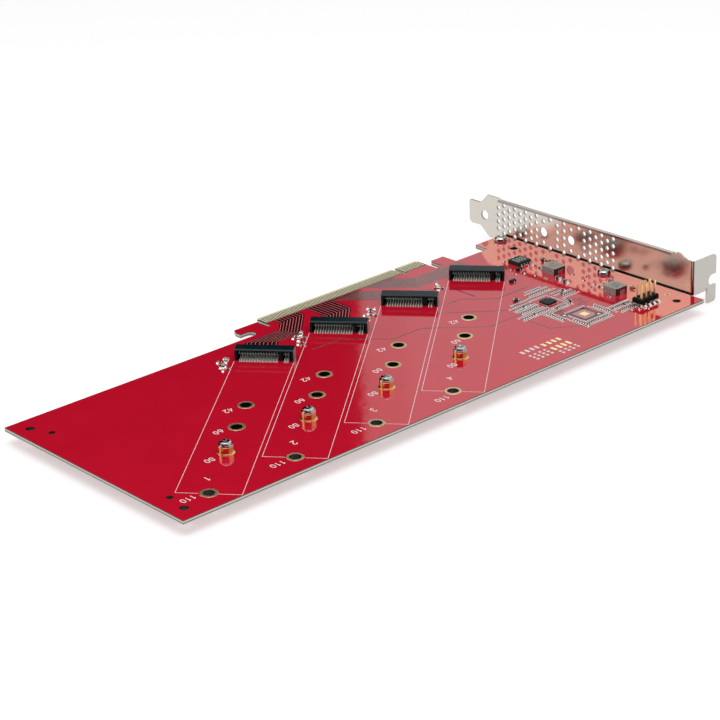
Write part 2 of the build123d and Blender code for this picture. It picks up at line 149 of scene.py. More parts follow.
# Plating: rows of bare lands round the chips as their two ends, and the places of rings and pads
LAND_ROWS = (
    (-31.5, 71, -22.5, 71), (-31.5, 66.9, -22.5, 66.9), (-30, 64.6, -23, 64.6), (-11.8, 76.2, 4.2, 76.2),
    (-11.8, 73, 4.2, 73), (-10.8, 71.6, 0.2, 71.6), (-10.8, 68.6, 0.2, 68.6), (-10.8, 67.3, 0.2, 67.3),
    (-10.8, 64.6, 0.2, 64.6), (-20.4, 64.4, -20.4, 74.8), (-22.2, 72.4, -22.2, 75.8), (-11, 62.2, -3, 62.2),
    (-20.5, 77.8, -9.5, 77.8), (-20, 75, -11.5, 75), (-20, 64.2, -11.5, 64.2), (-27.5, 61.8, -12.5, 61.8),
    (-27, 58.2, -15, 58.2), (-25, 56.4, -17, 56.4), (-26, 84, -26, 95.2), (-22.8, 84, -22.8, 95.2),
    (-21.8, 93.4, -10.8, 93.4), (-22, 96.6, -8, 96.6), (-10.7, 84.8, -10.7, 92.2), (-7.6, 88.4, -7.6, 97.4),
    (-22, 82, -12, 82), (-8, 77.6, -8, 87), (-5, 77.6, -5, 87), (-38, 90.2, -27, 90.2),
    (-38, 93.4, -27, 93.4), (-36.5, 97, -27, 97),
)
LAND_STEP = 1.12
LAND = (1.3, 0.5, 0.08)
LAND_TRACE = (1.9, 0.46, 0.012)
# Rings and dots as (radius, height above the board), tubes as their two radii and, where given, their two heights
DRIVE_HOLE = 2.12
DRIVE_LINING = (2.02, 2.11)
CORNER_LINING = (1.54, 1.62)
VIA_RING = ((0.55, -0.005), (1.15, -0.005), (1.15, 0.02), (1.1, 0.035), (0.6, 0.035), (0.55, 0.02))
VIA_BORE = ((0.6, -0.004), (0.6, 0.01), (0.5, 0.014))
TEST_RING = (0.75, 1.45, -0.005, 0.018)
TEST_SPOT = ((0.74, -0.005), (0.74, 0.03), (0.66, 0.04))
TARGET = ((1.25, -0.004), (1.25, 0.012), (1.2, 0.016))
CORNER_HOLES = [(x, y) for x in (-49.7, 190.4) for y in (19.4, 104.5)]
VIA_PLACES = ((-47.3, 10.3), (-52.6, 97.6))
TEST_PADS = ((-10, 83.3), (-20, 91.5))
TARGET_PLACES = ((187, 27.5), (189.1, 95.4))
EMPTY_CHIP_PAD = (-16.4, 87.6)
# Columns of the field of pads along X, and the large gold rows' place along Y with their pads' length and width
GOLD_COLUMNS = (8.4, 11, 13.5, 16.3)
TIN_COLUMNS = (19.5, 22, 24.5, 27)
GOLD_ROWS = ((97, 1.3, 2.5), (102, 1.3, 3))

# Socket contacts as (u from the mouth, height above the board)
CONTACT_PITCH = 0.25
CONTACT_STRIP = (0.22, 0.12)
KEYED_PINS = (59, 66)
LOWER_BEAM = (
    (1.15, 0.06), (0.3, 0.06), (0.05, 0.16), (-0.05, 0.4), (-0.5, 0.52), (-1.6, 0.6), (-2.5, 0.85), (-3.2, 1.35),
    (-3.5, 1.5), (-3.8, 1.4),
)
UPPER_BEAM = (
    (-6.7, 0.06), (-5.9, 0.06), (-5.62, 0.16), (-5.55, 0.45), (-5.5, 2.9), (-5.2, 3.35), (-4.6, 3.5), (-2.2, 3.1),
    (-1.1, 2.55), (-0.7, 2.48), (-0.35, 2.7),
)

# Bracket: the vent holes' step and lowest row, their rims' outer radius inside the sheet, the two light holes along
# Y, and the middle of the sheet along X
VENT_STEP = 3.05
VENT_LOW = 1.24
RIM_RADIUS = 1.34
LIGHT_HOLES = (27.1, 42)
SHEET_MIDDLE = -59.35
# Where the bracket's tones change, painted shade under the lip and on its front edge among them: half the sheet, the
# plate's top, the lip's underside, its free edge, the flange
SHEET_HALF, PLATE_TOP, LIP_HEIGHT, LIP_EDGE, FLANGE_START = 0.44, 14.6, 14, -57.3, 100

# Turned parts as (radius, height above the board), with the cross's reach, half width and depth for a screw
POST = (
    (2, -4.05), (2, 0), (2.75, 0), (2.8, 0.06), (2.8, 0.3), (2.74, 0.36), (2.5, 0.4), (2.5, 2.2), (2.56, 2.26),
    (2.56, 2.5), (2.46, 2.6), (1.1, 2.6), (1.05, 2.5), (1.05, 0.1),
)
DRIVE_SCREW = (
    (1, 0.7), (1, 2.6), (2.5, 2.6), (2.55, 2.66), (2.55, 3.1), (2.48, 3.2), (2.02, 3.24), (2.02, 3.75), (1.92, 4),
    (1.7, 4.14), (1.45, 4.2),
)
PAN_SCREW = (
    (1.5, -2.8), (1.5, 0), (2.5, 0), (2.6, 0.15), (2.64, 0.5), (2.58, 0.95), (2.36, 1.4), (2.05, 1.7), (1.75, 1.85),
)
DRIVE_CROSS = (1.2, 0.3, 0.9)
PAN_CROSS = (1.5, 0.36, 1.2)
DRIVE_SCREW_TURNS = (25, 70, 10, 50)
PAN_SCREW_TURNS = (35, 12)

# Kinds of chip: size, how far the body stays inside the ends, the ends' length and the solder's reach
CAPACITOR = ((2, 1.25, 1.1), 0.3, 0.4, 0.5)
RESISTOR = ((1.6, 0.8, 0.5), 0.25, 0.32, 0.4)
TINY = ((1.1, 0.55, 0.4), 0.2, 0.3, 0.3)
BLOCK = ((2.4, 1.5, 1.2), 0.3, 0.5, 0.5)
BESIDE = ((1.5, 0.9, 0.5), 0.2, 0.5, 0.45)
TRANSISTOR = (2.9, 1.4, 1)
TRANSISTOR_LEG = ((0.62, 0.5), (0.85, 0.5), (0.98, 0.35), (1.02, 0.12), (1.15, 0.06), (1.45, 0.06))
# Rows of tiny chips round the clock chip and the empty chip place, as their two ends
TINY_STEP = 1.2
TINY_ROWS = (
    (-31, 68.9, -24.5, 68.9), (-10, 74.6, 3.2, 74.6), (-9, 70.1, -0.6, 70.1), (-9, 66, -1, 66),
    (-26, 60, -15, 60), (-21, 76.3, -14, 76.3), (-24.4, 85.5, -24.4, 93.5), (-21, 95, -11, 95),
    (-9.2, 89, -9.2, 96.5), (-37, 91.8, -28, 91.8), (-36, 95.4, -28, 95.4), (-6.5, 78, -6.5, 86),
)
# Single chips as place and turn: by each socket, measured from its mouth, by the power parts, and the black blocks
BESIDE_SOCKETS = (
    ((8.8, -12.2, 40), (8.1, -10.9, 40), (13.4, -8.8, 130), (12.9, -6.5, 40), (13.7, -4.1, 130), (16.1, -4, 40),
     (12.7, -11.3, 40), (14.9, -6.9, 40), (11.4, -9.7, 130)),
    ((10.2, -9.3, 40), (12, -5.9, 130), (13.8, -6.7, 40), (15.8, -3, 130), (17.9, -2.7, 40), (17.6, -0.3, 130),
     (15.4, -8.4, 40), (15.6, -5.2, 40), (13.4, -8.9, 130)),
    ((12.9, -9.7, 40), (12.6, -8.2, 130), (11.2, -7.6, 40), (16.4, -5.7, 40), (16.2, -4.3, 130), (14.8, -3.6, 40),
     (15.5, -2.3, 130), (18.5, -5.6, 40), (14.4, -6.6, 130)),
    ((13.3, -8.9, 40), (15.4, -5.3, 40), (15.3, -3.8, 130), (17, -5.8, 130), (14.4, -7, 40)),
)
NEAR_BRACKET = (
    (-34.3, 94.4, 90), (-33.6, 96.6, 90), (-34.2, 98.6, 90), (-33.4, 100.4, 0), (-36.4, 101.6, 90), (-45.9, 93.6, 0),
    (-46.4, 96, 0), (-31.6, 98.4, 0), (-45, 78.4, 0), (-45.6, 76.2, 90), (-47.3, 47, 90), (-39.2, 36.9, 90),
    (-41.1, 38.9, 0), (-39.7, 44, 90), (-44.5, 41.5, 0), (-43.2, 44.3, 90), (-41.6, 70.3, 0), (-38.5, 71.5, 90),
    (-41.5, 75, 0), (-44.6, 72.5, 90), (-35.6, 83, 90), (-33.2, 47, 0), (-30.8, 35, 90), (-28.6, 40, 90),
    (-36, 27.2, 0), (-42, 26.8, 0), (-33.4, 52, 90), (-44, 57, 0), (-46, 62.5, 90), (-42, 64.5, 0),
)
BLOCK_CHIPS = ((-36.1, 56.4, 80), (-35.4, 60.9, 80), (-8, 60.3, 130), (-20.5, 76, 0), (-46.9, 38.6, 90))

# The larger chips: leads and dashes as length, width and height, the clock chip's mark as two radii and two heights,
# the power chip's leg as (reach beyond its side, height), and the places of the inductors' dashes
CLOCK_LEAD = (0.5, 0.28, 0.12)
CLOCK_MARK = (0.22, 0.34, -0.01, 0.012)
POWER_DASH = (1.3, 0.35, 0.012)
INDUCTOR_DASH = (1.5, 0.5, 0.015)
POWER_LEG = ((-0.1, 0.75), (0.25, 0.75), (0.42, 0.55), (0.5, 0.2), (0.65, 0.08), (1.1, 0.08))
INDUCTOR_MARKS = ((-1, -1.2), (-1, 0.9), (0.8, -0.4), (0.8, 1.3))
# Header: the pitch of its blocks, their share of the CAD base's height, and the solder as for a chip of this size
HEADER_PITCH = 2.54
HEADER_RISE = 0.72
HEADER_SOLDER = (6.2, 1.35, 1.3)

# Studio, in metres and degrees
CAMERA_PLACE = (0.563817, 0.604528, 0.316780)
CAMERA_TURN = (69.01278, 2.50686, 139.12141)
CAMERA_LENS = 109.971
CAMERA_SHIFT = (0.10773, -0.11826)
CARD_MIDDLE = (0.07, 0.06)
FLOOR_HALF = 4.0
FLOOR_GAP = 0.0001
LAMP_PLACE = (0.35, 0.3, 1.1)
# Painted shadow: the floor's glow stops in a box under the card, inside its outline, so its holes look down on shade
PAINTED_SHADOW_BOX = (("X", -42, 178), ("Y", 16, 95))
# Screens that only reflections see: azimuths, heights, steps and level, where the first has stops of grey along it
SCREEN_RADIUS = 1.1
GREY_STOPS = ((0, 0.5), (0.82, 0.46), (0.86, 0.4), (0.975, 0.4), (1, 0))
SCREENS = (
    ("grey_screen", 214, 228.2, 0, 0.64, 96, (1, 1, 1)),
    ("dark_screen", 228.2, 290, 0, 1, 64, (0, 0, 0)),
    ("warm_screen", 290, 335, 0.37, 0.75, 48, (2.2, 1.9, 1.55)),
    ("warm_foot", 290, 335, 0, 0.37, 48, (0.3, 0.3, 0.3)),
    ("camera_side", -25, 95, 0, 1, 96, (0.02, 0.02, 0.02)),
)


def outward(points, faces):
    """Turns a closed skin's faces so that they point out: the volume they enclose, summed over fans, is positive."""
    volume = 0.0
    for f in faces:
        a = points[f[:, 0]]
        for i in range(1, f.shape[1] - 1):
            volume += np.einsum("ij,ij->i", a, np.cross(points[f[:, i]], points[f[:, i + 1]])).sum()
    return points, faces if volume > 0 else [f[:, ::-1] for f in faces]


def skin(rings, loop=False):
    """Skin over rings of points carried along a path, as (rings, around, 3): quads join neighbours on the grid of the
    two parameters, and a fan of triangles closes each end unless the path is a loop."""
    count, around = rings.shape[:2]
    index = np.arange(count * around).reshape(count, around)
    beside = np.roll(index, -1, axis=1)
    if loop:
        index, beside = (np.vstack([i, i[:1]]) for i in (index, beside))
    faces = [np.stack([index[:-1], beside[:-1], beside[1:], index[1:]], axis=-1).reshape(-1, 4)]
    points = rings.reshape(-1, 3)
    if not loop:
        points = np.vstack([points, rings[0].mean(0), rings[-1].mean(0)])
        first, last = np.full(around, count * around), np.full(around, count * around + 1)
        fans = [np.stack([first, beside[0], index[0]], -1), np.stack([last, index[-1], beside[-1]], -1)]
        faces.append(np.vstack(fans))
    return outward(points, faces)


def repeated(shape, places):
    """Copies of one shape: each place is x, y, z and a turn about Z in degrees, applied to the whole array at once."""
    points, faces = shape
    places = np.atleast_2d(np.asarray(places, float))
    c, s = (f(np.radians(places[:, 3]))[:, None] for f in (np.cos, np.sin))
    x, y, z = points.T
    moved = np.stack([x * c - y * s, x * s + y * c, np.broadcast_to(z, (len(places), len(z)))], axis=-1)
    moved += places[:, None, :3]
    step = len(points) * np.arange(len(places))[:, None, None]
    return moved.reshape(-1, 3), [(f[None] + step).reshape(-1, f.shape[1]) for f in faces]


def together(shapes):
    """Several shapes as one, each shape's face numbers moved up by the points before it."""
    points, faces, count = [], [], 0
    for p, fs in shapes:
        points.append(p)
        faces += [f + count for f in fs]
        count += len(p)
    return np.vstack(points), faces


def turned(profile, around=28, loop=True):
    """Surface of revolution: a profile of radius and height, carried round Z."""
    angle = np.linspace(0, 2 * np.pi, around, endpoint=False)
    r, z = np.asarray(profile, float).T[:, :, None]
    return skin(np.stack([r * np.cos(angle), r * np.sin(angle), z + 0 * angle], -1), loop)


def tube(inner, outer, low, high, around=40):
    """A ring of rectangular section, as a surface of revolution."""
    return turned([(inner, low), (outer, low), (outer, high), (inner, high)], around)


def cross_radius(angle, reach, half_width):
    """Distance from the middle to the outline of two crossed bars: the larger of the two bars' own distances, each the
    smaller of its end over the cosine and its side over the sine."""
    c, s = np.abs(np.cos(angle)) + 1e-9, np.abs(np.sin(angle)) + 1e-9
    return np.maximum(np.minimum(reach / c, half_width / s), np.minimum(reach / s, half_width / c))


def screw_shape(profile, reach, half_width, depth, around=96):
    """A turned screw whose top is cut by a cross: rings follow the profile of radius and height, then the cross's own
    outline at the crown, and that outline shrunk towards the recess's floor."""
    angle = np.linspace(0, 2 * np.pi, around, endpoint=False)
    profile = np.asarray(profile, float)
    top = profile[-1, 1]
    cross = cross_radius(angle, reach, half_width)
    shares = np.array([1.0, 0.93, 0.55])[:, None]
    radius = np.vstack([np.repeat(profile[:, :1], around, axis=1), cross * shares])
    height = np.concatenate([profile[:, 1], [top, top - 0.1 * depth, top - depth]])[:, None]
    return skin(np.stack([radius * np.cos(angle), radius * np.sin(angle), height + 0 * angle], -1))


def sideways(path, width, limit):
    """Half a strip's width at each point of its path in the plane: square to the mean direction of the two runs that
    meet there, and longer by that direction's cosine, so that the strip keeps its width through the bend."""
    runs = np.diff(path, axis=0)
    runs /= np.linalg.norm(runs, axis=1)[:, None]
    along = np.vstack([runs[:1], runs[:-1] + runs[1:], runs[-1:]])
    along /= np.linalg.norm(along, axis=1)[:, None]
    side = np.stack([-along[:, 1], along[:, 0]], -1) * width / 2
    side[1:] /= np.maximum(np.sum(along[1:] * runs, axis=1), limit)[:, None]
    return side


def swept(path, width, thickness):
    """A flat strip bent along a path in the XZ plane: its thickness stands square to the path and its width lies
    along Y."""
    path = np.asarray(path, float)
    side = sideways(path, thickness, 0.5)
    rings = [
        np.stack([path[:, 0] + s[:, 0], np.full(len(path), w * width / 2), path[:, 1] + s[:, 1]], -1)
        for s, w in ((side, -1), (side, 1), (-side, 1), (-side, -1))
    ]
    return skin(np.stack(rings, axis=1))


def band(path, width, low, high, shrink=0.15):
    """A raised line in plan: its cross-section is a low trapezium, carried along the path with mitred corners."""
    path = np.asarray(path, float)
    side = sideways(path, width, 0.4)
    rings = [
        np.column_stack([path + side * s, np.full(len(path), z)])
        for s, z in ((-1, low), (1, low), (1 - shrink, high), (-1 + shrink, high))
    ]
    return skin(np.stack(rings, axis=1))


def slab(length, width, height, low=0.0, soften=0.04, taper=0.0):
    """A block with softened upright corners and a softened top rim: an outline of eight points carried up in rings that
    draw in by the softening, and by the taper over the whole height."""
    a, b, s = length / 2, width / 2, soften
    quarter = np.array([(a - s, b), (a, b - s)])
    outline = np.vstack([quarter * (1, -1), quarter[::-1], quarter * (-1, 1), quarter[::-1] * (-1, -1)])
    steps = [(0, 0), (height - s, taper), (height, taper + s)]
    rings = [np.column_stack([outline * (1 - inset / np.array([a, b])), np.full(8, low + z)]) for z, inset in steps]
    return skin(np.stack(rings))


def arc(x, y, rx, ry, start, end, steps):
    """Points on an ellipse from one angle to another, in degrees."""
    t = np.radians(np.linspace(start, end, steps))
    return np.column_stack([x + rx * np.cos(t), y + ry * np.sin(t)])


# Plotter strokes of the numbers in a cell 0.6 wide and 1 high
STROKES = {
    "0": [arc(0.3, 0.5, 0.28, 0.5, 90, 450, 22)],
    "1": [np.array([(0.12, 0.78), (0.34, 1.0), (0.34, 0.0)])],
    "2": [np.vstack([arc(0.3, 0.72, 0.27, 0.28, 170, -25, 11), [(0.03, 0.0), (0.6, 0.0)]])],
    "3": [np.vstack([arc(0.28, 0.75, 0.26, 0.25, 150, -80, 10), arc(0.28, 0.26, 0.3, 0.26, 80, -150, 12)])],
    "4": [np.array([(0.46, 0.0), (0.46, 1.0), (0.0, 0.3), (0.62, 0.3)])],
    "6": [np.vstack([arc(0.5, 0.3, 0.5, 0.7, 100, 175, 8), arc(0.3, 0.29, 0.27, 0.29, 175, 520, 18)])],
    "8": [arc(0.3, 0.75, 0.23, 0.25, -90, 270, 18), arc(0.3, 0.26, 0.28, 0.26, 90, 450, 20)],
}
DIGIT_WIDTH = 0.6
DIGIT_STEP = 0.84


def number(text, middle, height, width, low, high):
    """A number drawn as strokes about its middle: each stroke of the plotter alphabet is scaled, set beside the one
    before it and swept as a raised line."""
    span = (len(text) - 1) * DIGIT_STEP + DIGIT_WIDTH
    return together(
        [
            band((stroke + (i * DIGIT_STEP - span / 2, -0.5)) * height + middle, width, low, high)
            for i, digit in enumerate(text) for stroke in STROKES[digit]
        ]
    )


def bay_point(k, u, v):
    """A point of bay k in plan: u runs along the drive from its outermost hole, v across it."""
    c, s = math.cos(BAY_TURN), math.sin(BAY_TURN)
    u = np.asarray(u, float) + HOLE_TO_MOUTH
    v = np.asarray(v, float)
    return np.stack([MOUTH_PLACES[k, 0] + u * c - v * s, MOUTH_PLACES[k, 1] + u * s + v * c], -1)


def bay_place(k, u, v=0.0):
    """A place in bay k for copies of a shape."""
    return *bay_point(k, u, v), FACE, BAY_ANGLE


def drive_hole(k, length):
    """The hole for a drive of this length in bay k."""
    return bay_place(k, length - max(DRIVE_LENGTHS))


def on_face(spots, z=FACE):
    """Places for copies of a shape from x, y and, where one is given, a turn."""
    return [(*spot[:2], z, *(spot[2:] or (0.0,))) for spot in spots]


def row_places(rows, step, between=False):
    """Places along straight rows, across them: the share along the row is the parameter, in even steps near to the
    one asked for, moved on by half a step for the gaps between."""
    places = []
    for x0, y0, x1, y1 in rows:
        share = np.linspace(0, 1, max(2, round(math.hypot(x1 - x0, y1 - y0) / step) + 1))
        if between:
            share = (share[1:] + share[:-1]) / 2
        still = np.zeros_like(share)
        turn = 90 if y0 == y1 else 0
        places.append(np.column_stack([x0 + (x1 - x0) * share, y0 + (y1 - y0) * share, still + FACE, still + turn]))
    return np.vstack(places)


def chip_places(node):
    """Where each box of a CAD node of small chips stands: the middle of its 24 corners, and the direction in which
    those corners spread most."""
    mesh = frame["nodes"][node].data
    co = np.zeros(len(mesh.vertices) * 3)
    mesh.vertices.foreach_get("co", co)
    corners = co.reshape(-1, 24, 3) / MM
    middle = corners.mean(1)
    spread = corners[:, :, :2] - middle[:, None, :2]
    _, axes = np.linalg.eigh(np.einsum("kni,knj->kij", spread, spread))
    turn = np.degrees(np.arctan2(axes[:, 1, 1], axes[:, 0, 1]))
    return np.column_stack([middle[:, :2], np.full(len(middle), FACE), turn])


def linked(name, data):
    """A new object at the origin with this data, in the scene."""
    thing = bpy.data.objects.new(name, data)
    bpy.context.scene.collection.objects.link(thing)
    return thing


def add_piece(name, shape, finish_name, replaced=()):
    """Puts points and faces into a mesh object that rides on the card, shaded smooth up to the crease angle."""
    points, faces = shape
    mesh = bpy.data.meshes.new(name)
    mesh.vertices.add(len(points))
    mesh.vertices.foreach_set("co", (points * MM).astype(np.float32).ravel())
    loops = np.concatenate([f.ravel() for f in faces])
    sizes = np.concatenate([np.full(len(f), f.shape[1]) for f in faces])
    mesh.loops.add(len(loops))
    mesh.loops.foreach_set("vertex_index", loops.astype(np.int32))
    mesh.polygons.add(len(sizes))
    mesh.polygons.foreach_set("loop_start", (np.cumsum(sizes) - sizes).astype(np.int32))
    mesh.polygons.foreach_set("use_smooth", np.ones(len(sizes), bool))
    mesh.update(calc_edges=True)
    if mesh.validate():
        raise RuntimeError(f"{name} has faces that are not sound")
    mesh.set_sharp_from_angle(angle=math.radians(CREASE))
    mesh.materials.append(finished(finish_name))
    piece = linked(name, mesh)
    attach(piece, ROOT)
    if replaced:
        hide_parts(*replaced)


MADE = {}


def finished(name):
    """The finish of this name. The first call makes them all."""
    if not MADE:
        make_finishes(bpy.context.scene.card_colours)
    return MADE[name]


def colour(*rgb):
    """An opaque colour."""
    return (*rgb, 1.0)


def plug(inlet, value):
    """Links a socket to an input, or writes a plain value there."""
    value = getattr(value, "socket", value)
    if isinstance(value, bpy.types.NodeSocket):
        inlet.id_data.links.new(value, inlet)
    else:
        inlet.default_value = value


def placed(tree, kind, values=(), **settings):
    """A new shader node: the settings are its own properties, the values go into its inputs by name or number."""
    node = tree.nodes.new(f"ShaderNode{kind}")
    for name, value in settings.items():
        setattr(node, name, value)
    for name, value in dict(values).items():
        plug(node.inputs[name], value)
    return node


class Value:
    """A number worked out by a shader: each sum, product or comparison adds one Math node, where & is the product of
    two masks and | the larger of two values."""

    def __init__(self, socket):
        self.socket = socket

    def calculated(self, operation, *others, clamp=False):
        """The result of one Math node on this value and the others, each a value, a socket or a number."""
        terms = enumerate((self, *others))
        node = placed(self.socket.id_data, "Math", terms, operation=operation, use_clamp=clamp)
        return Value(node.outputs[0])

    __add__ = partialmethod(calculated, "ADD")
    __sub__ = partialmethod(calculated, "SUBTRACT")
    __mul__ = __and__ = partialmethod(calculated, "MULTIPLY")
    __or__ = partialmethod(calculated, "MAXIMUM")
    __lt__ = partialmethod(calculated, "LESS_THAN")
    __gt__ = partialmethod(calculated, "GREATER_THAN")
    __abs__ = partialmethod(calculated, "ABSOLUTE")


def mixed(factor, a, b):
    """The colour between two at this factor."""
    values = {"Factor": factor, "A": a, "B": b}
    return placed(factor.socket.id_data, "Mix", values, data_type="RGBA").outputs["Result"]


def node_group(name, inputs, outputs):
    """A node group with these sockets, and the sockets of its two end nodes inside it."""
    group = bpy.data.node_groups.new(name, "ShaderNodeTree")
    for socket, kind, default in inputs:
        group.interface.new_socket(socket, in_out="INPUT", socket_type=kind).default_value = default
    for socket, kind in outputs:
        group.interface.new_socket(socket, in_out="OUTPUT", socket_type=kind)
    return group, group.nodes.new("NodeGroupInput").outputs, group.nodes.new("NodeGroupOutput").inputs


def mottle_group():
    """Cloudy variation: a noise is spread about its middle by the sharpness, and moves between two colours."""
    if "Mottle" in bpy.data.node_groups:
        return bpy.data.node_groups["Mottle"]
    group, entry, leave = node_group(
        "Mottle",
        [
            ("Vector", "NodeSocketVector", (0, 0, 0)),
            ("Scale", "NodeSocketFloat", 200.0),
            ("Sharpness", "NodeSocketFloat", 1.0),
            ("Low", "NodeSocketColor", colour(0, 0, 0)),
            ("High", "NodeSocketColor", colour(1, 1, 1)),
        ],
        [("Color", "NodeSocketColor"), ("Mask", "NodeSocketFloat")],
    )
    values = {"Vector": entry["Vector"], "Scale": entry["Scale"], "Detail": 5.0, "Roughness": 0.62}
    noise = placed(group, "TexNoise", values)
    about = Value(noise.outputs["Fac"]) - 0.5
    mask = about.calculated("MULTIPLY_ADD", entry["Sharpness"], 0.5, clamp=True)
    plug(leave["Mask"], mask)
    plug(leave["Color"], mixed(mask, entry["Low"], entry["High"]))
    return group


def grain_group():
    """Drawn grain: noise stretched along one axis by its own scale on each axis, as a height."""
    if "Grain" in bpy.data.node_groups:
        return bpy.data.node_groups["Grain"]
    group, entry, leave = node_group(
        "Grain",
        [("Vector", "NodeSocketVector", (0, 0, 0)), ("Stretch", "NodeSocketVector", (1, 1, 1))],
        [("Height", "NodeSocketFloat")],
    )
    scaled = placed(group, "VectorMath", {0: entry["Vector"], 1: entry["Stretch"]}, operation="MULTIPLY")
    noise = placed(group, "TexNoise", {"Vector": scaled.outputs[0], "Scale": 1.0, "Detail": 4.0})
    plug(leave["Height"], noise.outputs["Fac"])
    return group


def finish(name, low, high, scale, rough, metallic=0.0, rough_spread=0.06, bump=0.0, stretch=900.0, coat=0.0, ior=1.5,
           sharpness=1.4):
    """One finish: cloudy colour between two close tones, roughness that follows the clouds, and fine grain as bump."""
    material = MADE[name] = bpy.data.materials.new(f"{name}_finish")
    material.use_nodes = True
    tree = material.node_tree
    place = tree.nodes.new("ShaderNodeTexCoord").outputs["Object"]
    tones = {"Vector": place, "Scale": scale, "Sharpness": sharpness, "Low": colour(*low), "High": colour(*high)}
    clouds = placed(tree, "Group", tones, node_tree=mottle_group()).outputs
    spread = {"Value": clouds["Mask"], "To Min": rough - rough_spread / 2, "To Max": rough + rough_spread / 2}
    surface = {
        "Base Color": clouds["Color"],
        "Roughness": placed(tree, "MapRange", spread).outputs["Result"],
        "Metallic": metallic,
        "IOR": ior,
        "Coat Weight": coat,
        "Coat Roughness": 0.04,
    }
    if bump:
        stretches = {"Vector": place, "Stretch": np.full(3, stretch, float).tolist()}
        grain = placed(tree, "Group", stretches, node_tree=grain_group())
        relief = {"Strength": bump, "Distance": 0.05 * MM, "Height": grain.outputs["Height"]}
        surface["Normal"] = placed(tree, "Bump", relief).outputs["Normal"]
    for inlet, value in surface.items():
        plug(tree.nodes["Principled BSDF"].inputs[inlet], value)
    return material


def point_and_facing(material):
    """X, Y and Z of a point of a finish, and of its normal, in the card's own frame."""
    tree = material.node_tree
    place = next(n for n in tree.nodes if n.type == "TEX_COORD").outputs
    split = [placed(tree, "SeparateXYZ", {0: place[name]}) for name in ("Object", "Normal")]
    return [[Value(outlet) for outlet in node.outputs] for node in split]


def patched(material, mask, shade):
    """Lays another tone over a finish where the mask is one."""
    base = material.node_tree.nodes["Principled BSDF"].inputs["Base Color"]
    plug(base, mixed(mask, base.links[0].from_socket, colour(*shade)))


def board_finish(colours):
    """The board: red mask on its faces, bare laminate on the tongue and layered laminate round its edge, chosen by the
    face's direction and its place across the card edge, with painted shade on the end that faces the bracket."""
    material = finish("solder_mask", colours.mask_shade, colours.mask, 60.0, 0.1, rough_spread=0.05, coat=1.0)
    tree = material.node_tree
    surface = tree.nodes["Principled BSDF"].inputs
    (x, y, z), (facing_x, _, facing_z) = point_and_facing(material)
    place = x.socket.node.inputs[0].links[0].from_socket
    edge = abs(facing_z) < 0.5
    waves = {"Vector": place, "Scale": 900.0, "Distortion": 1.5, "Detail": 2.0}
    layers = Value(placed(tree, "TexWave", waves, bands_direction="Z").outputs["Fac"])
    rim_and_core = (z > RIM_HEIGHT * MM) | (abs(z - CORE_HEIGHT * MM) < CORE_HALF * MM)
    laminate = mixed(layers, colour(*colours.laminate_shade), colour(*colours.laminate))
    laminate = mixed(rim_and_core, laminate, colour(0.06, 0.05, 0.04))
    # painted shade: the board's end that faces the bracket is darkened almost to black
    bracket_end_painted_shade = (facing_x < -0.5) & (x < BRACKET_SIDE * MM)
    laminate = mixed(bracket_end_painted_shade, laminate, colour(0.008, 0.005, 0.004))
    bare = (y < MASK_EDGE * MM) & (x > TONGUE_ENDS[0] * MM) & (x < TONGUE_ENDS[1] * MM)
    beyond_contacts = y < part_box("edge_contacts_front")[0].y + 0.1 * MM
    flat = mixed(bare, surface["Base Color"].links[0].from_socket, colour(*colours.tongue))
    flat = mixed(beyond_contacts, flat, colour(0.72, 0.66, 0.44))
    uncoated = edge | bare
    plug(surface["Base Color"], mixed(edge, flat, laminate))
    plug(surface["Coat Weight"], uncoated < 0.5)
    plug(surface["Roughness"], uncoated * 0.5 + 0.07)
    ripple = placed(tree, "TexNoise", {"Vector": place, "Scale": 260.0, "Detail": 2.0}).outputs["Fac"]
    relief = placed(tree, "Bump", {"Strength": 0.06, "Distance": 0.2 * MM, "Height": ripple})
    for inlet in ("Normal", "Coat Normal"):
        plug(surface[inlet], relief.outputs["Normal"])


def nickel_finish():
    """The bracket's nickel: drawn grain along its length, painted shade where the sheet is bent, which the normal's two
    flat parts tell, darker in the punched holes, painted shade under and in front of the lip, darker on the flange's
    sheared edges."""
    material = finish("nickel_plate", (0.6, 0.555, 0.5), (0.68, 0.635, 0.58), 18.0, 0.2, metallic=1.0, bump=0.1,
                      stretch=(250, 40, 1600))
    (x, y, z), (facing_x, facing_y, facing_z) = point_and_facing(material)
    in_sheet = abs(x - SHEET_MIDDLE * MM) < SHEET_HALF * MM
    punched = (abs(facing_x) < 0.3) & (z < PLATE_TOP * MM) & in_sheet
    lip = z > LIP_HEIGHT * MM
    # painted shade: the sheet's bent corner is darkened
    patched(material, abs(facing_x * facing_y) > 0.44, (0.06, 0.05, 0.045))
    patched(material, punched, (0.36, 0.33, 0.3))
    # painted shade: the lip's underside is darkened almost to black
    patched(material, (facing_z < -0.25) & lip, (0.02, 0.018, 0.016))
    # painted shade: the lip's front edge is darkened
    patched(material, (facing_x > 0.7) & lip & (x > LIP_EDGE * MM), (0.3, 0.28, 0.26))
    patched(material, (abs(facing_y) > 0.8) & (y > FLANGE_START * MM), (0.5, 0.475, 0.44))
    rough = material.node_tree.nodes["Principled BSDF"].inputs["Roughness"]
    worn = (facing_z > 0.3) * 0.3 | punched * 0.25
    plug(rough, Value(rough.links[0].from_socket) + worn)


def inductor_finish():
    """Pressed iron: grey granules, with the ends across the card much darker."""
    material = finish("pressed_iron", (0.14, 0.13, 0.12), (0.46, 0.44, 0.4), 1500.0, 0.45, rough_spread=0.15, bump=0.5,
                      stretch=4500, sharpness=2.5)
    _, (_, facing_y, _) = point_and_facing(material)
    patched(material, abs(facing_y) > 0.6, (0.02, 0.014, 0.012))


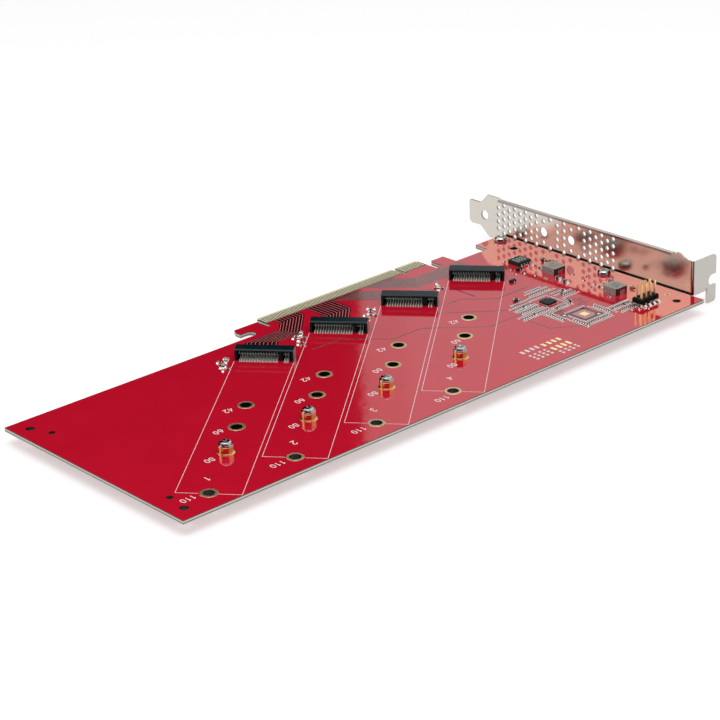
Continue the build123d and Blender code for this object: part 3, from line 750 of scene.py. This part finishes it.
def contact_finish():
    """Socket contacts: a pale tone lifted above the gold's own, painted light against the socket's shade, and dark by
    turns.
    The place along the row is the sum of X and Y weighted by the row's direction, and its sine over a period of two
    contacts tells the dark ones."""
    # painted light: the base tone is lifted above the gold's own to make up for the socket's shade
    material = finish("contact_gold", (0.85, 0.9, 0.78), (0.97, 1.0, 0.92), 900.0, 0.4, metallic=0.25, bump=0.1)
    (x, y, _), _ = point_and_facing(material)
    wave = 2 * math.pi / (4 * CONTACT_PITCH * MM)
    along = x * (-wave * math.sin(BAY_TURN)) + y * (wave * math.cos(BAY_TURN))
    patched(material, along.calculated("SINE") < -0.35, (0.16, 0.17, 0.14))


def pins_finish(colours):
    """Header pins: gold above the block and tinned at the feet, chosen by height."""
    material = finish("header_pin_gold", (0.9, 0.68, 0.3), (1.0, 0.84, 0.48), 900.0, 0.24, metallic=0.9, bump=0.1)
    (_, _, z), _ = point_and_facing(material)
    patched(material, z < (FACE + 0.6) * MM, colours.tin)


def make_finishes(colours):
    """Every finish of the card by name."""
    board_finish(colours)
    pins_finish(colours)
    nickel_finish()
    inductor_finish()
    contact_finish()
    gold, tin = np.array(colours.gold), np.array(colours.tin)
    finish("ring_gold", gold * 0.85, gold * 1.08, 500.0, 0.3, metallic=1.0, bump=0.1)
    finish("tin_plate", tin * 0.8, tin, 600.0, 0.24, metallic=1.0, bump=0.15)
    finish("solder", tin * 0.85, tin, 900.0, 0.14, metallic=1.0, bump=0.1)
    finish("gold_plate", (0.9, 0.82, 0.54), (1.0, 0.95, 0.7), 300.0, 0.42, metallic=0.4, bump=0.2,
           stretch=(6000, 300, 6000))
    finish("screw_steel", (0.66, 0.66, 0.65), (0.86, 0.86, 0.85), 500.0, 0.16, metallic=1.0, bump=0.1)
    finish("nut_steel", (0.5, 0.5, 0.48), (0.66, 0.65, 0.62), 400.0, 0.3, metallic=1.0, bump=0.2)
    finish("brass", (0.62, 0.36, 0.12), (0.85, 0.58, 0.25), 350.0, 0.16, metallic=1.0, bump=0.15,
           stretch=(120, 120, 5000))
    finish("chip_black", (0.006, 0.012, 0.011), (0.014, 0.024, 0.022), 900.0, 0.3, rough_spread=0.1, bump=0.2,
           stretch=5000, ior=1.25)
    finish("header_black", (0.003, 0.003, 0.004), (0.008, 0.008, 0.009), 700.0, 0.3, bump=0.2, stretch=3500, ior=1.14)
    finish("socket_black", (0.001, 0.009, 0.012), (0.003, 0.019, 0.024), 500.0, 0.16, bump=0.1, stretch=3800, ior=1.3)
    finish("resistor_black", (0.014, 0.014, 0.015), (0.035, 0.035, 0.036), 1500.0, 0.4, bump=0.2, stretch=6000)
    finish("capacitor_tan", (0.3, 0.2, 0.105), (0.42, 0.3, 0.17), 1500.0, 0.42, bump=0.25, stretch=6000)
    finish("silk_white", (0.78, 0.74, 0.74), (0.9, 0.88, 0.88), 2500.0, 0.5, rough_spread=0.15, bump=0.4, stretch=5000,
           sharpness=2.0)
    finish("trace_mask", (0.045, 0.0, 0.004), (0.085, 0.001, 0.008), 300.0, 0.1, coat=1.0)
    finish("trace_gap", (0.5, 0.14, 0.14), (0.66, 0.26, 0.24), 700.0, 0.2, coat=1.0)
    # painted shade inside the hole linings and via holes; the rings round the test pads and targets share this dark
    # tone
    finish("painted_bore_shade_and_dark_rings", (0.006, 0.006, 0.004), (0.02, 0.02, 0.012), 700.0, 0.3, metallic=0.4, bump=0.2)
    finish("gap_dark", (0.03, 0.026, 0.012), (0.06, 0.05, 0.025), 900.0, 0.6, bump=0.1, ior=1.05)
    finish("land_tin", (0.7, 0.66, 0.64), (0.9, 0.87, 0.85), 800.0, 0.45, metallic=0.35, bump=0.1)
    finish("bright_gold", (0.98, 0.8, 0.36), (1.0, 0.92, 0.58), 500.0, 0.5, metallic=0.2, bump=0.1)
    finish("screw_chrome", (0.4, 0.4, 0.39), (0.62, 0.62, 0.6), 700.0, 0.07, metallic=1.0, bump=0.1)


# The finish of each CAD node: the first row counts whose word the node's name starts with
CAD_FINISHES = (
    ("circuit_board", "solder_mask"), ("edge_contacts", "gold_plate"), ("slot_bracket", "nickel_plate"),
    ("inductor_terminals", "tin_plate"), ("inductor", "pressed_iron"), ("clock_chip", "chip_black"),
    ("power_chip", "chip_black"), ("header_base", "header_black"), ("header_pins", "header_pin_gold"),
    ("chip_capacitors", "capacitor_tan"), ("chip_resistors", "resistor_black"), ("bracket_screw", "screw_steel"),
    ("small_transistors", "resistor_black"), ("drive_socket", "socket_black"), ("socket_contacts", "contact_gold"),
    ("standoff_nut", "nut_steel"), ("standoff", "brass"), ("drive_screw", "screw_steel"),
)


def tone(name, text, default):
    """A colour setting."""
    return FloatVectorProperty(name=name, description=text, default=default, subtype="COLOR", size=3, min=0.0, max=1.0)


def distance(name, text, default):
    """A length setting, in metres."""
    return FloatProperty(name=name, description=text, default=default, unit="LENGTH", precision=5)


class CardColours(bpy.types.PropertyGroup):
    """Colours of the card, as linear light."""

    mask: tone("Solder mask", "Red mask on the board's faces", (0.63, 0.007, 0.03))
    mask_shade: tone("Mask shade", "Darker tone of the mask's clouding", (0.56, 0.006, 0.025))
    laminate: tone("Laminate", "Board edge, lighter layers", (0.8, 0.8, 0.73))
    laminate_shade: tone("Laminate shade", "Board edge, darker layers", (0.66, 0.66, 0.6))
    tongue: tone("Bare tongue", "Laminate between the edge contacts", (0.035, 0.03, 0.018))
    gold: tone("Gold", "Plated rings and pads", (0.95, 0.78, 0.46))
    tin: tone("Tin", "Terminals, feet and solder", (0.82, 0.81, 0.79))


class CardSizes(bpy.types.PropertyGroup):
    """Sizes of the printing, the copper and the small parts, in metres where they are lengths."""

    silk_width: distance("Outline width", "Width of the bay outlines", 0.00018)
    silk_height: distance("Silk thickness", "How far the print stands up", 0.00002)
    digit_height: distance("Digit height", "Height of the printed numbers", 0.0024)
    digit_stroke: distance("Digit stroke", "Width of a number's stroke", 0.00034)
    trace_width: distance("Trace width", "Width of a masked trace", 0.0006)
    ring_radius: distance("Pad ring radius", "Outer radius of a drive hole's ring", 0.0031)
    vent_radius: distance("Vent hole radius", "Inner radius of a vent hole's rim", 0.00092)
    pins: IntProperty(name="Socket positions", description="Contact positions in a drive socket", default=75, min=1)


class CARD_OT_cad_finishes(bpy.types.Operator):
    """Give every CAD node its finish"""

    bl_idname = "card.cad_finishes"
    bl_label = "CAD finishes"

    def execute(self, context):
        for name, node in frame["nodes"].items():
            finish_name = next(f for start, f in CAD_FINISHES if name.startswith(start))
            node.data.materials.clear()
            node.data.materials.append(finished(finish_name))
        return {"FINISHED"}


class CARD_OT_silk(bpy.types.Operator):
    """Print the bay outlines, the drive lengths and the bay numbers"""

    bl_idname = "card.silk"
    bl_label = "Printing"

    def execute(self, context):
        sizes = context.scene.card_sizes
        low, high = FACE - 0.005, FACE + sizes.silk_height / MM
        line, stroke, tall = (size / MM for size in (sizes.silk_width, sizes.digit_stroke, sizes.digit_height))
        lines, numbers = [], []
        for k in range(BAYS):
            for side in (-1, 1):
                across = [side * OUTLINE_HALF] * 2 + [side * PAD_GAP]
                lines.append(band(bay_point(k, [OUTLINE_START, OUTLINE_END, OUTLINE_END], across), line, low, high))
            for drive, place in zip(DRIVE_LENGTHS, LENGTH_PLACES[k]):
                numbers.append(number(str(drive), place, tall, stroke, low, high))
            numbers.append(number(str(k + 1), BAY_NUMBER_PLACES[k], tall * 1.1, stroke * 1.1, low, high))
        add_piece("bay_outlines", together(lines), "silk_white")
        add_piece("printed_numbers", together(numbers), "silk_white")
        return {"FINISHED"}


def socket_back(k, v):
    """A point at the foot of bay k's socket, behind it, at this distance across the bay."""
    return bay_point(k, -HOLE_TO_MOUTH - SOCKET_BACK, v)


def bundle_path(k, share):
    """One line of the bundle between the card edge and bay k's socket, as corners joined by runs at 0, 45 and 90
    degrees. The share runs from 0 to 1 across the bundle, and moves every run sideways by an even step."""
    start, spread, rise = BUNDLES[k]
    x = start + spread * share
    end = socket_back(k, BUNDLE_HALF * (1 - 2 * share))
    if k == 0:
        end = socket_back(k, FIRST_HALF * (1 - 2 * share) + FIRST_SHIFT)
        level = rise - FIRST_FALL * share
        corners = [(x, FIRST_TURN), (x + level - FIRST_TURN, level), end - (end[1] - level)]
    elif k == 1:
        inward = np.array([math.cos(BAY_TURN), math.sin(BAY_TURN)])
        run = ((socket_back(k, 0.0) - (x, rise)) @ inward) / inward.sum()
        corners, end = [(x, rise)], (x + run, rise + run)
    elif k == 2:
        corners = [(x, rise), end - (end.sum() - x - rise) / 2]
    else:
        level = LAST_LEVEL + LAST_RISE * share
        corners = [(x, rise), (x + rise - level, level), (end[0], level)]
    return np.array([(x, TONGUE_TOP), *corners, end])


def bundle_fill(k, low, high):
    """The dark copper under a bundle: share across it and place along it are the two parameters of its upper side,
    and the same points lower down close it."""
    across = np.array([bundle_path(k, share) for share in np.linspace(0, 1, 9)])
    upper = np.concatenate([across, np.full((*across.shape[:2], 1), high)], axis=-1)
    lower = upper[::-1] + (0.0, 0.0, low - high)
    return skin(np.concatenate([upper, lower]).transpose(1, 0, 2))


class CARD_OT_traces(bpy.types.Operator):
    """Lay the traces that show through the mask"""

    bl_idname = "card.traces"
    bl_label = "Masked traces"

    def execute(self, context):
        low, high = FACE - 0.01, FACE + 0.012
        dark = [band(path, context.scene.card_sizes.trace_width / MM, low, high) for path in LONG_TRACES]
        light = []
        for k in range(BAYS):
            dark.append(bundle_fill(k, low, FACE + 0.01))
            for share in (np.arange(BUNDLE_LINES[k]) + 0.5) / BUNDLE_LINES[k]:
                light.append(band(bundle_path(k, share), BUNDLE_GAPS[k], low, FACE + 0.014))
        x0, y0, x1, y1 = EMPTY_CHIP_LOOP
        dark.append(band([(x0, y0), (x1, y0), (x1, y1), (x0, y1), (x0, y0 - 0.9)], 1.8, low, high))
        for x, y, turn, count, run in SHORT_TRACES:
            one = [band(np.array([(0, 0), (run, 0), (run + 0.8, 0.8)]) + (0, 0.55 * i), 0.2, -0.01, 0.012)
                   for i in range(count)]
            dark.append(repeated(together(one), on_face([(x, y, turn)])))
        ground = slab(x1 - x0 - 1.0, y1 - y0 - 1.0, 0.016, soften=0.004)
        light.append(repeated(ground, on_face([((x0 + x1) / 2, (y0 + y1) / 2)])))
        add_piece("masked_traces", together(dark), "trace_mask")
        add_piece("bundle_gaps", together(light), "trace_gap")
        return {"FINISHED"}


def eyelet(inner, outer, z, lip):
    """A plated hole: a tube through the board with a flat ring on each face, as one closed profile carried round."""
    return turned(
        [
            (inner, -z - lip), (outer - lip, -z - lip), (outer, -z), (outer, -z + 0.01), (inner + 0.06, -z + 0.01),
            (inner + 0.06, z - 0.01), (outer, z - 0.01), (outer, z), (outer - lip, z + lip), (inner, z + lip),
        ],
        40,
    )


class CARD_OT_plating(bpy.types.Operator):
    """Make the plated rings, the small vias, the targets and the bare gold pads"""

    bl_idname = "card.plating"
    bl_label = "Plating"

    def execute(self, context):
        outer = context.scene.card_sizes.ring_radius / MM
        holes = [drive_hole(k, n) for k in range(BAYS) for n in DRIVE_LENGTHS if n != FITTED]
        sunk = [(x, y, 0.0, turn) for x, y, _, turn in holes]
        seat = turned([(2.0, -0.005), (outer, -0.005), (outer, 0.02), (outer - 0.05, 0.035), (2.0, 0.035)], 40)
        vias, tests = on_face(VIA_PLACES), on_face(TEST_PADS)
        gold = [repeated(slab(3.2, 3.2, 0.04, soften=0.1), on_face([EMPTY_CHIP_PAD]))]
        gold += [repeated(slab(*size, 0.035), on_face([(x, y) for x in GOLD_COLUMNS])) for y, *size in GOLD_ROWS]
        small = [(x, y) for x in TIN_COLUMNS for y in (100.4, 102.3, 104.2)]
        small += [(x, y) for x in GOLD_COLUMNS for y in (105.2, 106.9)]
        tin = [repeated(slab(1.2, 2.4, 0.03), on_face([(x, 96.5) for x in TIN_COLUMNS]))]
        tin.append(repeated(slab(1.1, 1.1, 0.03), on_face(small)))
        low, high, (_, middle) = cad_box("edge_contacts_front")
        gaps = [x for x in np.arange(low[0] + 0.85, high[0] - 0.5, 1.0) if not KEY_NOTCH[0] < x < KEY_NOTCH[1]]
        bars = repeated(
            slab(0.48, high[1] - low[1] + 0.2, 0.02, soften=0.004), on_face([(x, middle) for x in gaps], FACE + 0.045)
        )
        lands = repeated(slab(*LAND), row_places(LAND_ROWS, LAND_STEP))
        between = repeated(slab(*LAND_TRACE, soften=0.003), row_places(LAND_ROWS, LAND_STEP, between=True))
        # the drive and corner hole linings and the via holes are dark: painted shade inside the holes
        lining = repeated(tube(*DRIVE_LINING, -FACE - 0.02, FACE + 0.03), sunk)
        wall = repeated(tube(*CORNER_LINING, -FACE - 0.01, FACE + 0.01), on_face(CORNER_HOLES, 0.0))
        for name, shape, finish_name, slot in (
            ("drive_hole_rings", repeated(eyelet(DRIVE_HOLE, outer, FACE, 0.035), sunk), "ring_gold", "gold_plate"),
            ("drive_hole_linings", lining, "painted_bore_shade_and_dark_rings", "gold_plate"),
            ("standoff_pads", repeated(seat, [drive_hole(k, FITTED) for k in range(BAYS)]), "ring_gold", "gold_plate"),
            ("via_rings", repeated(turned(VIA_RING), vias), "ring_gold", "gold_plate"),
            ("via_holes", repeated(turned(VIA_BORE, loop=False), vias), "painted_bore_shade_and_dark_rings", "gold_plate"),
            ("test_pad_rings", repeated(tube(*TEST_RING, 28), tests), "painted_bore_shade_and_dark_rings", "solder_mask"),
            ("test_pads", repeated(turned(TEST_SPOT, loop=False), tests), "land_tin", "tin_plate"),
            ("target_rings", repeated(turned(TARGET, 32, False), on_face(TARGET_PLACES)), "painted_bore_shade_and_dark_rings", "solder_mask"),
            ("bare_gold_pads", together(gold), "bright_gold", "gold_plate"),
            ("contact_gaps", bars, "gap_dark", "solder_mask"),
            ("bare_tin_pads", together(tin), "land_tin", "tin_plate"),
            ("chip_lands", lands, "land_tin", "solder"),
            ("land_traces", between, "trace_mask", "solder_mask"),
            ("corner_hole_linings", wall, "painted_bore_shade_and_dark_rings", "solder_mask"),
        ):
            add_piece(name, shape, finish_name)
        return {"FINISHED"}


class CARD_OT_socket_contacts(bpy.types.Operator):
    """Make both rows of each drive socket's contacts with their solder tails"""

    bl_idname = "card.socket_contacts"
    bl_label = "Socket contacts"

    def execute(self, context):
        count = context.scene.card_sizes.pins
        pins = np.arange(1, count + 1)
        v = (pins - (count + 1) / 2) * CONTACT_PITCH
        free = (pins < KEYED_PINS[0]) | (pins > KEYED_PINS[1])
        for k in range(BAYS):
            rows = []
            for odd, beam in enumerate((LOWER_BEAM, UPPER_BEAM)):
                places = [bay_place(k, -HOLE_TO_MOUTH, y) for y in v[free & (pins % 2 == odd)]]
                rows.append(repeated(swept(beam, *CONTACT_STRIP), places))
            name = f"contact_rows_{k + 1}"
            add_piece(name, together(rows), "contact_gold", [f"socket_contacts_{k + 1}"])
        return {"FINISHED"}


def vent_places():
    """The bracket's vent holes as (y, z): columns of four and of five rows in turn, opened up round the light holes."""
    four, five = (0.5, 1.5, 2.5, 3.5), (0, 1, 2, 3, 4)
    near, far = LIGHT_HOLES
    quarter = (far - near) / 4
    columns = [
        (start + i * VENT_STEP, five if i % 2 else four) for start, count in ((1.9, 8), (49.1, 6)) for i in range(count)
    ]
    columns += [(near + 2 * quarter, four), (near + 3 * quarter, five), (near, (0.5, 3.5)), (far, (0.5, 3.5))]
    columns += [(near + quarter, (0, 4)), (far + 4.1, (0, 4))]
    return [(y, VENT_LOW + row * VENT_STEP) for y, rows in columns for row in rows]


class CARD_OT_vent_rims(bpy.types.Operator):
    """Turn in the rims of the bracket's punched holes"""

    bl_idname = "card.vent_rims"
    bl_label = "Vent hole rims"

    def execute(self, context):
        inner = context.scene.card_sizes.vent_radius / MM
        points, faces = turned(
            [(RIM_RADIUS, -0.4), (inner, -0.4), (inner, 0.38), (inner + 0.04, 0.41), (RIM_RADIUS, 0.41)]
        )
        places = [(SHEET_MIDDLE, y, z, 0) for y, z in vent_places()]
        add_piece("vent_hole_rims", repeated((points[:, [2, 0, 1]], faces), places), "nickel_plate")
        return {"FINISHED"}


class CARD_OT_fasteners(bpy.types.Operator):
    """Make the standoffs, the drive screws and the bracket screws with their recesses"""

    bl_idname = "card.fasteners"
    bl_label = "Screws and standoffs"

    def execute(self, context):
        post = turned(POST, 56, loop=False)
        head, pan = screw_shape(DRIVE_SCREW, *DRIVE_CROSS), screw_shape(PAN_SCREW, *PAN_CROSS)
        for i, turn in enumerate(DRIVE_SCREW_TURNS, 1):
            place = drive_hole(i - 1, FITTED)
            add_piece(f"brass_post_{i}", repeated(post, place), "brass", [f"standoff_{i}"])
            screw = repeated(head, on_face([(*place[:2], turn)]))
            add_piece(f"drive_screw_head_{i}", screw, "screw_chrome", [f"drive_screw_{i}"])
        for i, turn in enumerate(PAN_SCREW_TURNS, 1):
            screw = repeated(pan, on_face([(*cad_box(f"bracket_screw_{i}")[2], turn)]))
            add_piece(f"bracket_pan_screw_{i}", screw, "screw_chrome", [f"bracket_screw_{i}"])
        return {"FINISHED"}


def chip_body(size, inset):
    """A chip's middle part: a block a little inside its metal ends."""
    return slab(size[0] - 2 * inset, size[1] - 0.04, size[2] - 0.03, 0.01, 0.05)


def chip_ends(size, end):
    """The metal caps on a chip's two ends."""
    side = size[0] / 2 - end / 2
    return repeated(slab(end, size[1], size[2], soften=0.06), [(-side, 0, 0, 0), (side, 0, 0, 0)])


def chip_solder(size, reach):
    """Solder at both ends: a hollow slope from the cap down to the board, carried across the chip and drawn in at its
    sides."""
    half, width, height = size[0] / 2, size[1], size[2]
    t = np.linspace(0, 1, 6)
    slope = np.column_stack([reach * t, 0.7 * height * (1 - t) ** 2.2 + 0.02])
    outline = np.vstack([[(-0.1, -0.01)], [(-0.1, 0.7 * height)], slope, [(reach, -0.01)]])
    rings = [
        np.column_stack([half + outline[:, 0] * draw, outline[:, 0] * 0 + share * width,
                         np.maximum(outline[:, 1] * draw, -0.01)])
        for share, draw in ((-0.5, 0.6), (-0.4, 1.0), (0.4, 1.0), (0.5, 0.6))
    ]
    return repeated(skin(np.stack(rings)), [(0, 0, 0, 0), (0, 0, 0, 180)])


class CARD_OT_small_parts(bpy.types.Operator):
    """Make the capacitors, resistors and transistors with their metal ends and solder"""

    bl_idname = "card.small_parts"
    bl_label = "Small parts"

    def execute(self, context):
        beside = [
            (MOUTH_PLACES[k, 0] + x, MOUTH_PLACES[k, 1] + y, turn)
            for k, row in enumerate(BESIDE_SOCKETS) for x, y, turn in row
        ]
        kinds = (
            (CAPACITOR, chip_places("chip_capacitors")),
            (RESISTOR, chip_places("chip_resistors")),
            (TINY, np.vstack([row_places(TINY_ROWS, TINY_STEP), on_face(NEAR_BRACKET)])),
            (BLOCK, on_face(BLOCK_CHIPS)),
            (BESIDE, on_face(beside)),
        )
        bodies, ends, fillets = [], [], []
        for (size, inset, end, reach), places in kinds:
            bodies.append(repeated(chip_body(size, inset), places))
            ends.append(repeated(chip_ends(size, end), places))
            fillets.append(repeated(chip_solder(size, reach), places))
        add_piece("capacitor_bodies", bodies[0], "capacitor_tan", ["chip_capacitors"])
        add_piece("resistor_bodies", together(bodies[1:]), "resistor_black", ["chip_resistors"])
        add_piece("chip_end_caps", together(ends), "tin_plate")
        add_piece("chip_solder", together(fillets), "solder")
        transistors = chip_places("small_transistors")
        long, wide, high = TRANSISTOR
        body = repeated(slab(long, wide, high - 0.1, 0.1, 0.08, taper=0.08), transistors)
        add_piece("transistor_bodies", body, "chip_black", ["small_transistors"])
        legs = repeated(swept(TRANSISTOR_LEG, 0.4, 0.12), [(-0.95, 0, 0, -90), (0.95, 0, 0, -90), (0, 0, 0, 90)])
        add_piece("transistor_legs", repeated(legs, transistors), "tin_plate")
        return {"FINISHED"}


class CARD_OT_chips(bpy.types.Operator):
    """Make the leads, marks and solder of the larger chips, the inductors and the header"""

    bl_idname = "card.chips"
    bl_label = "Chip leads and marks"

    def execute(self, context):
        low, high, (x, y) = cad_box("clock_chip")
        half = (high[0] - low[0]) / 2
        side = repeated(slab(*CLOCK_LEAD, soften=0.03), [(half + 0.12, v, 0, 0) for v in np.linspace(-2.0, 2.0, 9)])
        leads = repeated(side, on_face([(x, y, turn) for turn in (0, 90, 180, 270)]))
        add_piece("clock_chip_leads", leads, "solder")
        corner = on_face([(x - half + 0.8, y - half + 0.8)], high[2])
        add_piece("clock_chip_mark", repeated(tube(*CLOCK_MARK, 20), corner), "silk_white")

        low, high, (x, y) = cad_box("power_chip")
        reach, side = (high - low)[:2] / 2
        leg = swept(np.array(POWER_LEG) + (side, 0.0), 0.5, 0.16)
        along = np.linspace(-reach + 1.1, reach - 1.1, 4)
        legs = repeated(leg, on_face([(x + u, y, turn) for turn in (90, -90) for u in along]))
        add_piece("power_chip_legs", legs, "tin_plate")
        dashes = on_face([(x + u, y + v) for u in (-1.9, 0.0, 1.9) for v in (-1.3, 0.0, 1.3)], high[2])
        mark = repeated(slab(*POWER_DASH, soften=0.003), dashes)
        add_piece("power_chip_mark", mark, "silk_white")

        bars = []
        for i in (1, 2):
            _, high, (x, y) = cad_box(f"inductor_{i}")
            bars += on_face([(x + u, y + v, 90) for u, v in INDUCTOR_MARKS], high[2] - 0.005)
        marks = repeated(slab(*INDUCTOR_DASH, soften=0.003), bars)
        add_piece("inductor_marks", marks, "resistor_black")

        low, high, (x, y) = cad_box("header_base")
        long, wide, tall = high - low
        columns = [x + (i - 1.5) * HEADER_PITCH for i in range(4)]
        block = slab(long / 4 - 0.06, wide, tall * HEADER_RISE, soften=0.35)
        blocks = repeated(block, on_face([(u, y) for u in columns], high[2] - tall * HEADER_RISE))
        bridge = repeated(slab(long - 0.8, wide - 1.2, tall * 0.5), on_face([(x, y)], high[2] - tall * 0.68))
        add_piece("header_block", together([blocks, bridge]), "header_black", ["header_base"])
        blobs = repeated(chip_solder(HEADER_SOLDER, 1.7), on_face([(u, y, 90) for u in columns]))
        add_piece("header_solder", blobs, "solder")
        return {"FINISHED"}


def emission(name, level, stops=()):
    """A surface that gives light of its own: one tone, or greys at the stops along X of its own coordinates."""
    material = bpy.data.materials.new(name)
    material.use_nodes = True
    tree = material.node_tree
    tree.nodes.clear()
    tint = colour(*level)
    if stops:
        split = placed(tree, "SeparateXYZ", {0: tree.nodes.new("ShaderNodeUVMap").outputs["UV"]})
        steps = placed(tree, "ValToRGB", {"Fac": split.outputs["X"]})
        marks = steps.color_ramp.elements
        for at, _ in stops[1:-1]:
            marks.new(at)
        for mark, (at, grey) in zip(marks, stops):
            mark.position, mark.color = at, colour(grey, grey, grey)
        tint = steps.outputs["Color"]
    light = placed(tree, "Emission", {"Color": tint})
    placed(tree, "OutputMaterial", {"Surface": light.outputs[0]})
    return material


def curved_screen(name, start, end, low, high, steps, material):
    """An upright screen on an arc about the card's middle: azimuth and height are its two parameters, and the azimuth's
    share is its U coordinate."""
    angle = np.radians(np.linspace(start, end, steps))
    plan = CARD_MIDDLE + SCREEN_RADIUS * np.column_stack([np.cos(angle), np.sin(angle)])
    points = np.vstack([np.column_stack([plan, np.full(steps, z)]) for z in (low, high)])
    index = np.arange(steps)
    quads = np.stack([index[:-1], index[1:], index[1:] + steps, index[:-1] + steps], -1)
    mesh = bpy.data.meshes.new(name)
    mesh.from_pydata(points.tolist(), [], quads.tolist())
    share = np.column_stack([np.tile(np.linspace(0, 1, steps), 2), np.repeat([0.0, 1.0], steps)])
    mesh.uv_layers.new(name="UVMap").data.foreach_set("uv", share[quads.ravel()].astype(np.float32).ravel())
    mesh.materials.append(material)
    screen = linked(name, mesh)
    screen.visible_camera = screen.visible_diffuse = screen.visible_shadow = False


def seen_by(tree, *rays):
    """A mask that is one for the kinds of ray named."""
    path = tree.nodes.new("ShaderNodeLightPath")
    return reduce(or_, [Value(path.outputs[f"Is {ray} Ray"]) for ray in rays])


def pale_floor():
    """The floor's finish: matt and pale, with a glow that cameras and reflections see, except in a box under the card,
    which makes a painted shadow.
    """
    pale = bpy.data.materials.new("pale_floor")
    pale.use_nodes = True
    tree = pale.node_tree
    place = placed(tree, "SeparateXYZ", {0: tree.nodes.new("ShaderNodeTexCoord").outputs["Object"]})
    # painted shadow: the glow is left out in a box under the card
    beyond = [
        abs(Value(place.outputs[axis]) - (low + high) / 2 * MM) > (high - low) / 2 * MM for axis, low, high in PAINTED_SHADOW_BOX
    ]
    surface = {
        "Roughness": 0.9,
        "Specular IOR Level": 0.0,
        "Base Color": colour(0.62, 0.62, 0.62),
        "Emission Color": colour(1, 1, 1),
        "Emission Strength": seen_by(tree, "Camera", "Glossy") * 0.5 & reduce(or_, beyond),
    }
    for inlet, value in surface.items():
        plug(tree.nodes["Principled BSDF"].inputs[inlet], value)
    return pale


def white_room():
    """The world: white for cameras, reflections and glass, and dimmer as a light on the card."""
    world = bpy.data.worlds.new("white_room")
    world.use_nodes = True
    tree = world.node_tree
    tree.nodes.clear()
    dim, white = (
        placed(tree, "Background", {"Color": colour(1, 1, 1), "Strength": level}).outputs[0]
        for level in (0.62, 1.0)
    )
    mix = placed(tree, "MixShader", {0: seen_by(tree, "Camera", "Glossy", "Transmission"), 1: dim, 2: white})
    placed(tree, "OutputWorld", {"Surface": mix.outputs[0]})
    return world


class CARD_OT_studio(bpy.types.Operator):
    """Set the floor, the screens, the lamp, the world and the camera"""

    bl_idname = "card.studio"
    bl_label = "Studio"

    def execute(self, context):
        scene = context.scene
        mesh = bpy.data.meshes.new("floor")
        z = CAD_BOX[0].z - FLOOR_GAP
        corners = [(x * FLOOR_HALF, y * FLOOR_HALF, z) for x, y in ((-1, -1), (1, -1), (1, 1), (-1, 1))]
        mesh.from_pydata(corners, [], [(0, 1, 2, 3)])
        mesh.materials.append(pale_floor())
        floor = linked("floor", mesh)
        for name, *place, level in SCREENS:
            stops = GREY_STOPS if name == "grey_screen" else ()
            curved_screen(name, *place, emission(f"{name}_light", level, stops))

        lamp = bpy.data.lights.new("soft_lamp", "AREA")
        lamp.shape = "SQUARE"
        lamp.size = 1.1
        lamp.energy = 7.0
        soft = linked("soft_lamp", lamp)
        soft.location = LAMP_PLACE
        aim = np.array((*CARD_MIDDLE, 0.0)) - LAMP_PLACE
        yaw, pitch = math.atan2(aim[1], aim[0]), math.acos(-aim[2] / np.linalg.norm(aim))
        soft.rotation_euler = Euler((0.0, -pitch, yaw + math.pi), "XYZ")
        scene.world = white_room()

        lens = bpy.data.cameras.new("photo_camera")
        lens.lens = CAMERA_LENS
        lens.sensor_width = 36.0
        lens.shift_x, lens.shift_y = CAMERA_SHIFT
        lens.clip_start = 0.01
        camera = linked("photo_camera", lens)
        camera.location = CAMERA_PLACE
        camera.rotation_euler = Euler([math.radians(a) for a in CAMERA_TURN], "XYZ")
        scene.camera = camera
        scene.view_settings.view_transform = "Standard"
        return {"FINISHED"}


STEPS = (
    CARD_OT_cad_finishes,
    CARD_OT_silk,
    CARD_OT_traces,
    CARD_OT_plating,
    CARD_OT_socket_contacts,
    CARD_OT_vent_rims,
    CARD_OT_fasteners,
    CARD_OT_small_parts,
    CARD_OT_chips,
    CARD_OT_studio,
)


class CARD_PT_panel(bpy.types.Panel):
    """Lists the steps that dress the card, with its colours and sizes"""

    bl_idname = "CARD_PT_panel"
    bl_label = "Drive Adapter Card"
    bl_space_type = "VIEW_3D"
    bl_region_type = "UI"
    bl_category = "Card"

    def draw(self, context):
        for group in (context.scene.card_colours, context.scene.card_sizes):
            for name in group.__annotations__:
                self.layout.prop(group, name)
        for step in STEPS:
            self.layout.operator(step.bl_idname)


CLASSES = (CardColours, CardSizes, *STEPS, CARD_PT_panel)


def register():
    for cls in CLASSES:
        bpy.utils.register_class(cls)
    bpy.types.Scene.card_colours = PointerProperty(type=CardColours)
    bpy.types.Scene.card_sizes = PointerProperty(type=CardSizes)


def unregister():
    del bpy.types.Scene.card_sizes
    del bpy.types.Scene.card_colours
    for cls in reversed(CLASSES):
        bpy.utils.unregister_class(cls)


def main():
    register()
    for step in STEPS:
        group, name = step.bl_idname.split(".")
        getattr(getattr(bpy.ops, group), name)()


if __name__ == "__main__":
    main()
